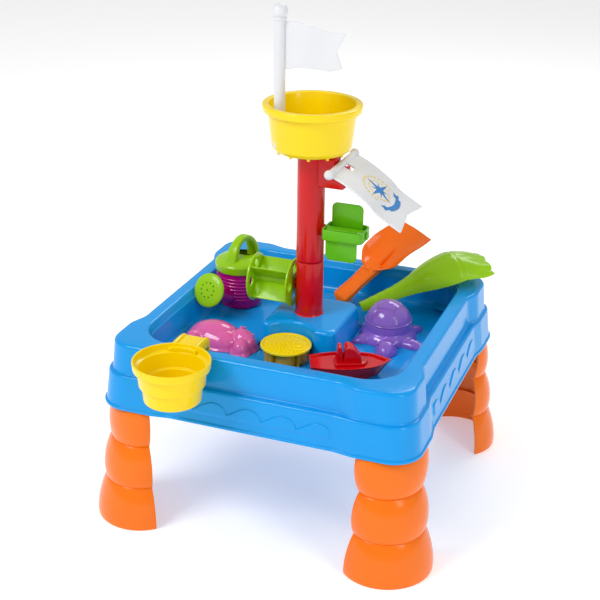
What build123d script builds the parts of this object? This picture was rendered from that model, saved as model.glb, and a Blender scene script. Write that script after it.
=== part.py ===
from build123d import *
import os
from math import cos, radians, sin, sqrt

# Sand and water table with a tipping tower and loose toys.
# Millimetres. Origin on the floor under the tower axis, +Z up, +Y to the back.

os.makedirs("parts", exist_ok=True)

# ---------------------------------------------------------------- driving sizes
CLEARANCE = 0.3  # gap between loose neighbours
RUNNING = 0.08  # radial clearance of a running fit
WALL = 3.0  # main moulded wall
THIN_WALL = 2.0  # toy wall

# Tub
SKIRT_Z = 160.4
LIP_HEIGHT = 3.0
LEDGE_Z = 205.0
RIM_Z = 243.4
BASIN_FLOOR_Z = 200.0
LOWER_SIDE = 199.0  # half width of a straight panel at the skirt
LOWER_CORNER = 202.8  # half width across the corner bastions
LIP_PROUD = 1.6
UPPER_SIDE = 186.2
UPPER_CORNER = 194.6
LOWER_TAPER = 5.6
UPPER_TAPER = 5.4
LOWER_CORNER_R = 55.0
UPPER_CORNER_R = 42.0
SWELL_START = 105.0  # where a straight panel begins to swell into its corner
SWELL_END = 128.0
SWELL_R = 30.0
BASIN_HALF = 165.0
BASIN_R = 45.0
BASIN_TAPER = 9.0
RIM_ROUND = 3.5
FLOOR_ROUND = 7.0

# Legs
LEG_XY = 165.0
LEG_WALL = 2.6
LEG_TOP_Z = SKIRT_Z - 0.2
LEG_TOP_PLATE = 2.6
LEG_SECTIONS = [  # height, half width and depth of each half-oval section
    (0.0, 57.5, 55.5),
    (18.0, 57.0, 55.0),
    (36.0, 52.8, 51.5),
    (54.0, 45.5, 42.8),
    (74.0, 48.8, 43.4),
    (94.0, 46.0, 40.0),
    (110.0, 40.2, 33.4),
    (130.0, 45.4, 34.8),
    (146.0, 46.6, 33.0),
    (SKIRT_Z - 0.2, 45.5, 28.5),
]
SPIGOT_R = 22.0
SPIGOT_TOP = 184.0
SOCKET_GAP = 0.25
SOCKET_WALL = 2.4
SOCKET_TOP = LEDGE_Z - 1.0

# Centre island
ISLAND_TOP = 236.5
ISLAND_X = (-45.0, 52.0)
ISLAND_HALF_Y = 52.0
ISLAND_R = 13.0
ISLAND_TAPER = 5.0
COVE_CENTRE = (-4.0, -71.0)
COVE_R = 36.0
ISLAND_ROUND = 4.0

# Tower
TUBE_R = 17.5
TUBE_WALL = 3.0
SEAM_Z = 309.6
TOWER_TOP = 452.0
SPIGOT_FIT = 0.15
SAIL_SEAT_Z = 435.5
ARM_PROFILE = [(15.0, 411.0), (46.0, 411.0), (51.0, 417.0), (50.0, 428.0), (45.0, 433.0), (40.0, SAIL_SEAT_Z)]
ARM_PROFILE += [(34.4, SAIL_SEAT_Z + 1.5), (34.4, 448.0), (15.0, 448.0)]
ARM_HALF_Y = 12.0
PEG_X = 47.4
PEG_SIZE = (4.0, 9.0)
PEG_TOP = 438.6
PLUG_R = 13.0
PLUG_TOP = 464.0

# Drum wheel
DRUM_Z = 274.5
DRUM_R = 31.2
DRUM_OUTER_X = -74.0
DRUM_INNER_X = -21.6
DISC_T = 2.2
DRUM_HUB_R = 6.0
DRUM_HOLE_R = 6.4
DRUM_HOLE_AT = 18.6
PADDLE_R = 30.0
PADDLE_T = 2.2
AXLE_R = 3.0
AXLE_HEAD_R = 5.0

# Upper paddle wheel
UPPER_Z = 352.0
UPPER_BLADE_X = (24.5, 65.5)
UPPER_BLADE_TIP = 34.4
UPPER_BLADE_Y = 11.5
UPPER_BLADE_T = 2.2
RING_X = (20.0, 73.5)
RING_HALF_Y = 18.5
RING_HALF_Z = 7.0
RING_WALL = 2.4
UPPER_HUB_R = 6.0

# Top bucket
BUCKET_BASE_Z = 455.0
BUCKET_RIM_Z = 513.0
BUCKET_BASE_R = 49.5
BUCKET_TOP_R = 54.6
BUCKET_RIM_R = 61.4
BUCKET_BAND = 9.5
BUCKET_WALL = 2.4
NUB_COUNT = 12
NUB_R = 2.6
NUB_AT = 46.0
NUB_DROP = 3.6

# Flag
POLE_XY = (-30.5, -31.7)
POLE_R = 6.8
POLE_FOOT_Z = 462.0
POLE_TOP_Z = 619.0
POLE_BALL_R = 9.6
POLE_COLLAR_R = 8.4
POLE_BOSS_TOP = 498.0
POLE_BOSS_WALL = 2.6
FLAG_T = 2.0
FLAG_WAVE = 2.6

# Sail
SAIL_ROD_X = 40.0
SAIL_ROD_Z = 441.2
SAIL_ROD_R = 4.2
SAIL_Y = (-49.0, 47.0)
SAIL_BALL_R = 6.0
SAIL_T = 1.8
SAIL_PATH = [(40.0, 441.2), (63.0, 430.0), (88.0, 413.0), (103.0, 399.0), (131.0, 382.0)]
SAIL_NOTCH = 8.0

# Hanging cup
CUP_XY = (-82.8, -231.8)
CUP_RIM_Z = 258.5
CUP_BASE_Z = 206.8
CUP_TIERS = [(34.2, 206.8), (35.8, 227.0), (39.0, 227.0), (41.0, 247.6), (45.2, 247.6), (46.2, 258.5)]
CUP_WALL = 2.0
HOOK_X = (-105.0, -70.0)
HOOK_BACK_Y = -153.4
HOOK_TOP = 255.0
HOOK_LIP_Z = 226.0
HOOK_LIP_T = 3.0
HOOK_HORN = 6.0

# Watering can
CAN_XY = (-126.0, 71.0)
CAN_AIM = -101.0  # compass direction of the spout
CAN_BASE_R = 28.0
CAN_TOP_R = 33.0
CAN_TOP_Z = 252.5
CAN_RIBS = 7
CAN_RIB_FIRST = 214.0
CAN_RIB_STEP = 5.0
LID_R = 34.8
LID_BAND_TOP = 264.0
LID_TOP = 271.0
LID_HOLE_R = 14.0
HANDLE_SPAN = 29.5
HANDLE_SHIFT = -4.5
HANDLE_TOP = 297.0
HANDLE_T = 8.0
HANDLE_W = 12.0
SPOUT_START_Z = 219.0
SPOUT_R = 8.0
ROSE_REACH = 78.0
ROSE_Z = 245.5
ROSE_TILT = 24.0  # rise of the rose's face above level
ROSE_R = 22.8
ROSE_DEPTH = 14.0

# Hippo mould
HIPPO_CENTRE = (-96.0, -58.0)
HIPPO_HEIGHT = 27.0

# Turtle mould
TURTLE_CENTRE = (95.0, 42.0)
TURTLE_AIM = -75.7  # compass direction of the head
TURTLE_DOME_R = 27.0
TURTLE_SKIRT_R = 34.0
TURTLE_STEP_Z = 218.0
TURTLE_TOP = 251.0
SHELL_MID_ANGLE = 40.0
FLIPPER_T = 8.0
TURTLE_HEAD_AT = 46.0
TURTLE_HEAD = (19.0, 13.0)
TURTLE_HEAD_T = 13.0

# Boat
BOAT_STERN = (39.5, -103.0)
BOAT_AIM = 24.5
BOAT_LENGTH = 101.0
BOAT_BEAM = 25.0
BOAT_TRANSOM = 17.0
BOAT_DECK = 220.5
BOAT_RIM = 2.0

# Sieve
SIEVE_XY = (-4.0, -71.0)
SIEVE_R = 32.4
SIEVE_TOP = 222.0
SIEVE_PLATE = 3.6
SIEVE_LOBES = 5

# Spade
SPADE_FOOT = (3.5, 108.0, 204.5)
SPADE_AIM = 52.3
SPADE_TILT = 33.5
SPADE_ROLL = 10.0  # its right side lies lower than its left
SPADE_LENGTH = 152.0
SPADE_HEEL = 68.0
SPADE_HALF = 34.5
SPADE_HANDLE_W = 27.0
SPADE_HANDLE_T = 11.0

# Scoop
SCOOP_FOOT = (44.0, 84.0, 212.5)
SCOOP_AIM = 36.0
SCOOP_TILT = 18.0
SCOOP_SECTIONS = [  # distance from the handle's end, half width and rise
    (0.0, 10.0, 8.0),
    (50.0, 12.0, 11.0),
    (80.0, 20.0, 18.0),
    (104.0, 31.0, 26.0),
    (132.0, 36.0, 28.0),
    (166.0, 34.0, 22.0),
    (184.0, 26.0, 13.0),
]

FLOOR_GAP = 0.3  # loose toys stand this far above the basin floor
TOY_Z = BASIN_FLOOR_Z + FLOOR_GAP


def save(part, name):
    """Label a finished piece and write it."""
    part.label = name
    export_step(part, f"parts/{name}.step")


def direction(angle):
    """Unit vector in the floor plane at a compass angle from +X."""
    return Vector(cos(radians(angle)), sin(radians(angle)), 0)


def tub_outline(side, corner, corner_r):
    """Square with four swollen corners, as a flat face."""
    quarter = [(side, SWELL_START), (corner, SWELL_END), (corner, corner)]
    quarter += [(SWELL_END, corner), (SWELL_START, side)]
    points = []
    for turn in range(4):
        for x, y in quarter:
            spot = Vector(x, y).rotate(Axis.Z, 90 * turn)
            points.append((spot.X, spot.Y))
    radii = [SWELL_R, SWELL_R, corner_r, SWELL_R, SWELL_R] * 4
    with BuildSketch() as outline:
        with BuildLine():
            FilletPolyline(*points, radius=radii, close=True)
        make_face()
    return outline.sketch


def tilted(foot, aim, tilt, roll=0.0):
    """Plane whose x runs along a tool leaning at a compass angle and a rise, rolled to its right."""
    along = direction(aim) * cos(radians(tilt)) + Vector(0, 0, sin(radians(tilt)))
    up = Vector(0, 0, cos(radians(tilt))) - direction(aim) * sin(radians(tilt))
    left = direction(aim + 90)
    rolled_up = up * cos(radians(roll)) - left * sin(radians(roll))
    return Plane(origin=foot, x_dir=along, z_dir=rolled_up)


# ---------------------------------------------------------------- tub
with BuildPart() as tub:
    # two stacked, drafted tiers with a small lip at the bottom edge
    with BuildSketch(Plane.XY.offset(SKIRT_Z)):
        add(tub_outline(LOWER_SIDE, LOWER_CORNER, LOWER_CORNER_R))
    extrude(amount=LEDGE_Z - SKIRT_Z, taper=LOWER_TAPER)
    with BuildSketch(Plane.XY.offset(LEDGE_Z)):
        add(tub_outline(UPPER_SIDE, UPPER_CORNER, UPPER_CORNER_R))
    extrude(amount=RIM_Z - LEDGE_Z, taper=UPPER_TAPER)
    fillet(tub.faces().sort_by(Axis.Z)[-1].edges(), RIM_ROUND)
    with BuildSketch(Plane.XY.offset(SKIRT_Z)):
        add(tub_outline(LOWER_SIDE + LIP_PROUD, LOWER_CORNER + LIP_PROUD, LOWER_CORNER_R + LIP_PROUD))
    extrude(amount=LIP_HEIGHT, taper=LOWER_TAPER)
    # hollow underside, one wall inside the tiers
    with BuildSketch(Plane.XY.offset(SKIRT_Z)):
        add(tub_outline(LOWER_SIDE - WALL, LOWER_CORNER - WALL, LOWER_CORNER_R - WALL))
    extrude(amount=LEDGE_Z - SKIRT_Z - WALL, taper=LOWER_TAPER, mode=Mode.SUBTRACT)
    with BuildSketch(Plane.XY.offset(LEDGE_Z - WALL)):
        add(tub_outline(UPPER_SIDE - WALL, UPPER_CORNER - WALL, UPPER_CORNER_R - WALL))
    extrude(amount=RIM_Z - LEDGE_Z, taper=UPPER_TAPER, mode=Mode.SUBTRACT)
    # the basin: an outer shell let in, then its inside cut away
    shell_half = BASIN_HALF + WALL
    with BuildSketch(Plane.XY.offset(RIM_Z - WALL)):
        RectangleRounded(2 * shell_half, 2 * shell_half, BASIN_R + WALL)
    extrude(amount=-(RIM_Z - BASIN_FLOOR_Z), taper=BASIN_TAPER)
    with BuildSketch(Plane.XY.offset(RIM_Z)):
        RectangleRounded(2 * BASIN_HALF, 2 * BASIN_HALF, BASIN_R)
    extrude(amount=-(RIM_Z - BASIN_FLOOR_Z), taper=BASIN_TAPER, mode=Mode.SUBTRACT)
    # four half-round sockets for the leg spigots
    for corner_angle in (45, 135, 225, 315):
        out = direction(corner_angle)
        foot = out * (LEG_XY * sqrt(2))
        socket_plane = Plane(origin=(foot.X, foot.Y, SKIRT_Z + LIP_HEIGHT), x_dir=out, z_dir=(0, 0, 1))
        inner_r = SPIGOT_R + SOCKET_GAP
        outer_r = inner_r + SOCKET_WALL
        with BuildSketch(socket_plane) as socket:
            Circle(outer_r)
            Rectangle(outer_r, 2 * outer_r, align=(Align.MAX, Align.CENTER), mode=Mode.SUBTRACT)
            with Locations((-SOCKET_WALL, 0)):
                Rectangle(SOCKET_WALL, 2 * outer_r, align=(Align.MIN, Align.CENTER))
            with BuildSketch(mode=Mode.SUBTRACT):
                Circle(inner_r)
                Rectangle(inner_r, 2 * inner_r, align=(Align.MAX, Align.CENTER), mode=Mode.SUBTRACT)
        extrude(amount=SOCKET_TOP - SKIRT_Z - LIP_HEIGHT)
    level_faces = tub.faces().filter_by(GeomType.PLANE)
    floor_faces = level_faces.filter_by_position(Axis.Z, BASIN_FLOOR_Z, BASIN_FLOOR_Z)
    fillet(floor_faces.sort_by(SortBy.AREA)[-1].edges(), FLOOR_ROUND)
save(tub.part, "tub")


# ---------------------------------------------------------------- legs
def leg_body(foot_plane, inset):
    """Solid half-oval column with three bulges, drawn in by an inset."""
    with BuildPart() as body:
        for level, half_width, depth in LEG_SECTIONS:
            with BuildSketch(foot_plane.offset(level)):
                with BuildLine():
                    rim_x = half_width - inset
                    rim_y = depth - inset
                    rim = EllipticalCenterArc((0, 0), rim_x, rim_y, start_angle=0, arc_size=180)
                    Line(rim @ 1, rim @ 0)
                make_face()
        loft()
    return body.part


def make_leg(corner_angle):
    """Half-oval leg shell, open towards the middle of the table, with a spigot on top."""
    out = direction(corner_angle)
    side = direction(corner_angle - 90)
    foot = out * (LEG_XY * sqrt(2))
    base = Plane(origin=foot, x_dir=side, z_dir=(0, 0, 1))
    with BuildPart() as leg:
        add(leg_body(base, 0))
        with BuildPart(mode=Mode.PRIVATE) as hollow:
            add(leg_body(base, LEG_WALL))
            split(bisect_by=Plane.XY.offset(LEG_TOP_Z - LEG_TOP_PLATE), keep=Keep.BOTTOM)
        add(hollow.part, mode=Mode.SUBTRACT)
        with BuildSketch(base.offset(LEG_TOP_Z - LEG_TOP_PLATE)):
            Circle(SPIGOT_R)
            Circle(SPIGOT_R - LEG_WALL, mode=Mode.SUBTRACT)
            Rectangle(2 * SPIGOT_R, 2 * SPIGOT_R, align=(Align.CENTER, Align.MAX), mode=Mode.SUBTRACT)
            Rectangle(2 * SPIGOT_R - LEG_WALL, LEG_WALL, align=(Align.CENTER, Align.MIN))
        extrude(amount=SPIGOT_TOP - LEG_TOP_Z + LEG_TOP_PLATE)
    return leg.part


LEG_PLACES = {
    "leg_front_right": 315,
    "leg_front_left": 225,
    "leg_back_right": 45,
    "leg_back_left": 135,
}
for leg_name, leg_angle in LEG_PLACES.items():
    save(make_leg(leg_angle), leg_name)

# ---------------------------------------------------------------- centre island
island_mid_x = (ISLAND_X[0] + ISLAND_X[1]) / 2
island_half_x = (ISLAND_X[1] - ISLAND_X[0]) / 2
island_rise = ISLAND_TOP - BASIN_FLOOR_Z
island_top_plane = Plane((island_mid_x, 0, ISLAND_TOP))
island_roof_plane = Plane((island_mid_x, 0, ISLAND_TOP - WALL))
with BuildPart() as center_island:
    with BuildSketch(island_top_plane):
        RectangleRounded(2 * island_half_x, 2 * ISLAND_HALF_Y, ISLAND_R)
    extrude(amount=-island_rise, taper=-ISLAND_TAPER)
    with BuildSketch(Plane((COVE_CENTRE[0], COVE_CENTRE[1], BASIN_FLOOR_Z))):
        Circle(COVE_R)
    extrude(amount=island_rise, mode=Mode.SUBTRACT)
    fillet(center_island.faces().sort_by(Axis.Z)[-1].edges(), ISLAND_ROUND)
    # hollow underneath, with a wall round the cove and a collar for the tower
    with BuildPart(mode=Mode.PRIVATE) as island_hollow:
        with BuildSketch(island_roof_plane):
            RectangleRounded(2 * island_half_x - 2 * WALL, 2 * ISLAND_HALF_Y - 2 * WALL, ISLAND_R - WALL)
        extrude(amount=-island_rise, taper=-ISLAND_TAPER)
        with BuildSketch(Plane((COVE_CENTRE[0], COVE_CENTRE[1], 0))):
            Circle(COVE_R + WALL)
        extrude(amount=ISLAND_TOP, mode=Mode.SUBTRACT)
        with BuildSketch(Plane.XY):
            Circle(TUBE_R)
        extrude(amount=ISLAND_TOP, mode=Mode.SUBTRACT)
    add(island_hollow.part, mode=Mode.SUBTRACT)
    with BuildSketch(Plane.XY.offset(ISLAND_TOP)):
        Circle(TUBE_R - TUBE_WALL)
    extrude(amount=-island_rise, mode=Mode.SUBTRACT)
save(center_island.part, "center_island")

# ---------------------------------------------------------------- tower
spigot_r = TUBE_R - TUBE_WALL - SPIGOT_FIT
spigot_depth = 14.0
boss_r = 7.5
boss_end = DRUM_INNER_X + DISC_T / 2 + 1.8
with BuildPart() as tower_lower:
    with BuildSketch(Plane.XY.offset(ISLAND_TOP)):
        Circle(TUBE_R)
    extrude(amount=SEAM_Z - ISLAND_TOP)
    with BuildSketch(Plane.XY.offset(ISLAND_TOP - spigot_depth)):
        Circle(spigot_r)
    extrude(amount=spigot_depth)
    with BuildSketch(Plane((0, 0, DRUM_Z), x_dir=(0, 1, 0), z_dir=(-1, 0, 0))):
        Circle(boss_r)
    extrude(amount=TUBE_R + 2.0)
    with BuildSketch(Plane.XY.offset(ISLAND_TOP - spigot_depth)):
        Circle(spigot_r - WALL)
    extrude(amount=spigot_depth + TUBE_WALL, mode=Mode.SUBTRACT)
    with BuildSketch(Plane.XY.offset(ISLAND_TOP + TUBE_WALL)):
        Circle(TUBE_R - TUBE_WALL)
    extrude(amount=SEAM_Z - ISLAND_TOP, mode=Mode.SUBTRACT)
    # inner stub behind the boss that holds the drum axle
    with BuildSketch(Plane((-TUBE_R, 0, DRUM_Z), x_dir=(0, 1, 0), z_dir=(1, 0, 0))):
        Circle(boss_r)
    extrude(amount=TUBE_R - 2.0)
    with BuildSketch(Plane((-TUBE_R - 2.0, 0, DRUM_Z), x_dir=(0, 1, 0), z_dir=(1, 0, 0))):
        Circle(AXLE_R)
    extrude(amount=TUBE_R + 1.0, mode=Mode.SUBTRACT)
save(tower_lower.part, "tower_lower")

with BuildPart() as tower_upper:
    with BuildSketch(Plane.XY.offset(SEAM_Z)):
        Circle(TUBE_R)
    extrude(amount=TOWER_TOP - SEAM_Z)
    with BuildSketch(Plane.XY.offset(TOWER_TOP)):
        Circle(PLUG_R)
    extrude(amount=PLUG_TOP - TOWER_TOP)
    chamfer(tower_upper.faces().sort_by(Axis.Z)[-1].edges(), 2.0)
    # spout arm under the sail: high at the tube, a seat for the rod, a beaked end
    with BuildSketch(Plane((0, -ARM_HALF_Y, 0), x_dir=(1, 0, 0), z_dir=(0, -1, 0))):
        with BuildLine():
            Polyline(*ARM_PROFILE, close=True)
        make_face()
    extrude(amount=-2 * ARM_HALF_Y)
    # peg that pokes through the slot of the sail
    with BuildSketch(Plane((PEG_X, 0, SAIL_SEAT_Z - 4))):
        Rectangle(PEG_SIZE[0], PEG_SIZE[1])
    extrude(amount=PEG_TOP - SAIL_SEAT_Z + 4)
    # boss for the paddle axle
    with BuildSketch(Plane((0, 0, UPPER_Z), x_dir=(0, 1, 0), z_dir=(1, 0, 0))):
        Circle(boss_r)
    extrude(amount=TUBE_R + 1.6)
    with BuildSketch(Plane.XY.offset(SEAM_Z)):
        Circle(TUBE_R - TUBE_WALL)
    extrude(amount=TOWER_TOP - SEAM_Z - TUBE_WALL, mode=Mode.SUBTRACT)
    with BuildSketch(Plane((TUBE_R, 0, UPPER_Z), x_dir=(0, 1, 0), z_dir=(-1, 0, 0))):
        Circle(boss_r)
    extrude(amount=TUBE_R - 2.0)
    with BuildSketch(Plane((TUBE_R + 1.6, 0, UPPER_Z), x_dir=(0, 1, 0), z_dir=(-1, 0, 0))):
        Circle(AXLE_R)
    extrude(amount=TUBE_R, mode=Mode.SUBTRACT)
    # spigot into the lower tube
    with BuildSketch(Plane.XY.offset(SEAM_Z - spigot_depth)):
        Circle(spigot_r)
        Circle(spigot_r - TUBE_WALL, mode=Mode.SUBTRACT)
    extrude(amount=spigot_depth)
    with BuildSketch(Plane.XY.offset(SEAM_Z)):
        Circle(TUBE_R - 1)
        Circle(spigot_r - TUBE_WALL, mode=Mode.SUBTRACT)
    extrude(amount=TUBE_WALL)
save(tower_upper.part, "tower_upper")


# ---------------------------------------------------------------- drum wheel
def disc_plane(x):
    """Upright plane across the X axis."""
    return Plane((x, 0, DRUM_Z), x_dir=(0, 1, 0), z_dir=(1, 0, 0))


def make_disc(x):
    """End disc of the drum with four round windows between the paddles."""
    with BuildPart() as disc:
        with BuildSketch(disc_plane(x)):
            Circle(DRUM_R)
            Circle(AXLE_R + RUNNING, mode=Mode.SUBTRACT)
            with PolarLocations(DRUM_HOLE_AT, 4):
                Circle(DRUM_HOLE_R, mode=Mode.SUBTRACT)
        extrude(amount=DISC_T / 2, both=True)
    return disc.part


drum_left = DRUM_OUTER_X + DISC_T / 2
drum_right = DRUM_INNER_X - DISC_T / 2
save(make_disc(DRUM_OUTER_X), "drum_outer_disc")
save(make_disc(DRUM_INNER_X), "drum_inner_disc")
with BuildPart() as drum_paddles:
    with BuildSketch(disc_plane(drum_left)):
        Circle(DRUM_HUB_R)
        for paddle_turn in (45, 135):
            Rectangle(2 * PADDLE_R, PADDLE_T, rotation=paddle_turn)
        Circle(AXLE_R + RUNNING, mode=Mode.SUBTRACT)
    extrude(amount=drum_right - drum_left)
save(drum_paddles.part, "drum_paddles")

axle_inner_x = -3.0
axle_head_t = 2.4
with BuildPart() as drum_axle:
    with BuildSketch(disc_plane(axle_inner_x)):
        Circle(AXLE_R)
    extrude(amount=DRUM_OUTER_X - DISC_T / 2 - CLEARANCE - axle_inner_x)
    with BuildSketch(disc_plane(DRUM_OUTER_X - DISC_T / 2 - CLEARANCE)):
        Circle(AXLE_HEAD_R)
    extrude(amount=-axle_head_t)
    fillet(drum_axle.faces().sort_by(Axis.X)[0].edges(), 1.0)
save(drum_axle.part, "drum_axle")

# ---------------------------------------------------------------- upper paddle wheel
ring_mid_x = (RING_X[0] + RING_X[1]) / 2
ring_length = RING_X[1] - RING_X[0]
blade_mid_x = (UPPER_BLADE_X[0] + UPPER_BLADE_X[1]) / 2
blade_width = UPPER_BLADE_X[1] - UPPER_BLADE_X[0]
with BuildPart() as paddle_wheel:
    # open rectangular band round the hub
    with BuildSketch(Plane((ring_mid_x, 0, UPPER_Z - RING_HALF_Z))):
        RectangleRounded(ring_length, 2 * RING_HALF_Y, 6.0)
        ring_clear = ring_length - 2 * RING_WALL
        RectangleRounded(ring_clear, 2 * RING_HALF_Y - 2 * RING_WALL, 4.0, mode=Mode.SUBTRACT)
    extrude(amount=2 * RING_HALF_Z)
    # two offset blades, one up and one down, with a web to the hub
    for blade_side in (1, -1):
        blade_base = UPPER_Z - blade_side * RING_HALF_Z
        blade_top = UPPER_Z + blade_side * UPPER_BLADE_TIP
        blade_mid_z = (blade_base + blade_top) / 2
        blade_height = abs(blade_top - blade_base)
        blade_centre = (blade_mid_x, blade_side * UPPER_BLADE_Y, blade_mid_z)
        with BuildSketch(Plane(blade_centre, x_dir=(1, 0, 0), z_dir=(0, 1, 0))):
            RectangleRounded(blade_width, blade_height, 4.0)
        extrude(amount=UPPER_BLADE_T / 2, both=True)
    with BuildSketch(Plane((RING_X[0], 0, UPPER_Z), x_dir=(0, 1, 0), z_dir=(1, 0, 0))):
        Circle(UPPER_HUB_R)
    extrude(amount=ring_length)
    for web_x in (UPPER_BLADE_X[0] + 3, blade_mid_x, UPPER_BLADE_X[1] - 3):
        with BuildSketch(Plane((web_x, 0, UPPER_Z), x_dir=(0, 1, 0), z_dir=(1, 0, 0))):
            Rectangle(2 * RING_HALF_Y - RING_WALL, 2.4)
        extrude(amount=1.1, both=True)
    with BuildSketch(Plane((RING_X[0], 0, UPPER_Z), x_dir=(0, 1, 0), z_dir=(1, 0, 0))):
        Circle(AXLE_R + RUNNING)
    extrude(amount=ring_length, mode=Mode.SUBTRACT)
save(paddle_wheel.part, "paddle_wheel")

with BuildPart() as paddle_axle:
    with BuildSketch(Plane((3.0, 0, UPPER_Z), x_dir=(0, 1, 0), z_dir=(1, 0, 0))):
        Circle(AXLE_R)
    extrude(amount=RING_X[1] + CLEARANCE - 3.0)
    with BuildSketch(Plane((RING_X[1] + CLEARANCE, 0, UPPER_Z), x_dir=(0, 1, 0), z_dir=(1, 0, 0))):
        Circle(AXLE_HEAD_R)
    extrude(amount=axle_head_t)
    fillet(paddle_axle.faces().sort_by(Axis.X)[-1].edges(), 1.0)
save(paddle_axle.part, "paddle_axle")

# ---------------------------------------------------------------- top bucket
band_z = BUCKET_RIM_Z - BUCKET_BAND
socket_r = PLUG_R + 0.06
pole_reach = sqrt(POLE_XY[0] ** 2 + POLE_XY[1] ** 2)
with BuildPart() as top_bucket:
    with BuildSketch(Plane.XZ):
        with BuildLine():
            Polyline(
                (0, BUCKET_BASE_Z),
                (BUCKET_BASE_R - 4, BUCKET_BASE_Z),
                (BUCKET_BASE_R, BUCKET_BASE_Z + 4),
                (BUCKET_TOP_R, band_z),
                (BUCKET_RIM_R - 0.6, band_z),
                (BUCKET_RIM_R, BUCKET_RIM_Z),
                (BUCKET_TOP_R - BUCKET_WALL, BUCKET_RIM_Z),
                (BUCKET_BASE_R - BUCKET_WALL, BUCKET_BASE_Z + BUCKET_WALL + 3),
                (BUCKET_BASE_R - BUCKET_WALL - 3, BUCKET_BASE_Z + BUCKET_WALL),
                (0, BUCKET_BASE_Z + BUCKET_WALL),
                close=True,
            )
        make_face()
    revolve(axis=Axis.Z)
    # ring of small drip spouts under the bottom edge
    with BuildSketch(Plane.XY.offset(BUCKET_BASE_Z - NUB_DROP)):
        with PolarLocations(NUB_AT - 1.6, NUB_COUNT, start_angle=15):
            Circle(NUB_R)
    extrude(amount=NUB_DROP + 1)
    with BuildSketch(Plane.XY.offset(BUCKET_BASE_Z - NUB_DROP)):
        with PolarLocations(NUB_AT - 1.6, NUB_COUNT, start_angle=15):
            Circle(NUB_R - 1.2)
    extrude(amount=NUB_DROP + BUCKET_WALL + 1, mode=Mode.SUBTRACT)
    # centre boss over the tower plug and side boss for the flag pole
    with BuildSketch(Plane.XY.offset(BUCKET_BASE_Z)):
        Circle(socket_r + BUCKET_WALL)
    extrude(amount=PLUG_TOP - BUCKET_BASE_Z + CLEARANCE + BUCKET_WALL)
    with BuildSketch(Plane.XY.offset(BUCKET_BASE_Z)):
        Circle(socket_r)
    extrude(amount=PLUG_TOP - BUCKET_BASE_Z + CLEARANCE, mode=Mode.SUBTRACT)
    with BuildSketch(Plane((*POLE_XY, BUCKET_BASE_Z))):
        Circle(POLE_R + POLE_BOSS_WALL)
    extrude(amount=POLE_BOSS_TOP - BUCKET_BASE_Z)
    with BuildSketch(Plane((*POLE_XY, POLE_FOOT_Z - CLEARANCE))):
        Circle(POLE_R + 0.06)
    extrude(amount=BUCKET_RIM_Z, mode=Mode.SUBTRACT)
save(top_bucket.part, "top_bucket")

# ---------------------------------------------------------------- flag
ball_z = POLE_TOP_Z + 6.4
with BuildPart() as flag_pole:
    with BuildSketch(Plane((*POLE_XY, POLE_FOOT_Z))):
        Circle(POLE_R)
    extrude(amount=POLE_TOP_Z - POLE_FOOT_Z)
    with BuildSketch(Plane((*POLE_XY, POLE_TOP_Z - 3))):
        Circle(POLE_COLLAR_R)
    extrude(amount=3)
    with Locations((*POLE_XY, ball_z)):
        Sphere(POLE_BALL_R)
save(flag_pole.part, "flag_pole")

flag_x0 = POLE_XY[0] + POLE_R
flag_end = 51.3
with BuildPart() as flag_banner:
    # a wavy strip seen from above
    with BuildSketch(Plane.XY.offset(550)):
        with BuildLine():
            waves = [0, -FLAG_WAVE, FLAG_WAVE, -FLAG_WAVE, 0]
            stations = [flag_x0, -6.0, 15.0, 34.0, flag_end]
            near = Spline(*[(x, POLE_XY[1] + y - FLAG_T / 2) for x, y in zip(stations, waves)])
            away = Spline(*[(x, POLE_XY[1] + y + FLAG_T / 2) for x, y in zip(stations, waves)])
            Line(near @ 0, away @ 0)
            Line(near @ 1, away @ 1)
        make_face()
    extrude(amount=80)
    # cut to the outline of a flag with a notched free edge
    with BuildSketch(Plane((0, POLE_XY[1], 0), x_dir=(1, 0, 0), z_dir=(0, -1, 0))):
        with BuildLine():
            top = Spline((flag_x0, 614.9), (-6.0, 615.8), (13.0, 610.8), (30.0, 605.7), (flag_end, 606.3))
            fly = Polyline(top @ 1, (39.0, 578.0), (46.9, 565.4))
            foot_line = Spline(fly @ 1, (30.8, 560.1), (13.0, 561.5), (-4.8, 562.4), (flag_x0, 557.8))
            Line(foot_line @ 1, top @ 0)
        make_face()
    extrude(amount=20, both=True, mode=Mode.INTERSECT)
save(flag_banner.part, "flag_banner")

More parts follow.
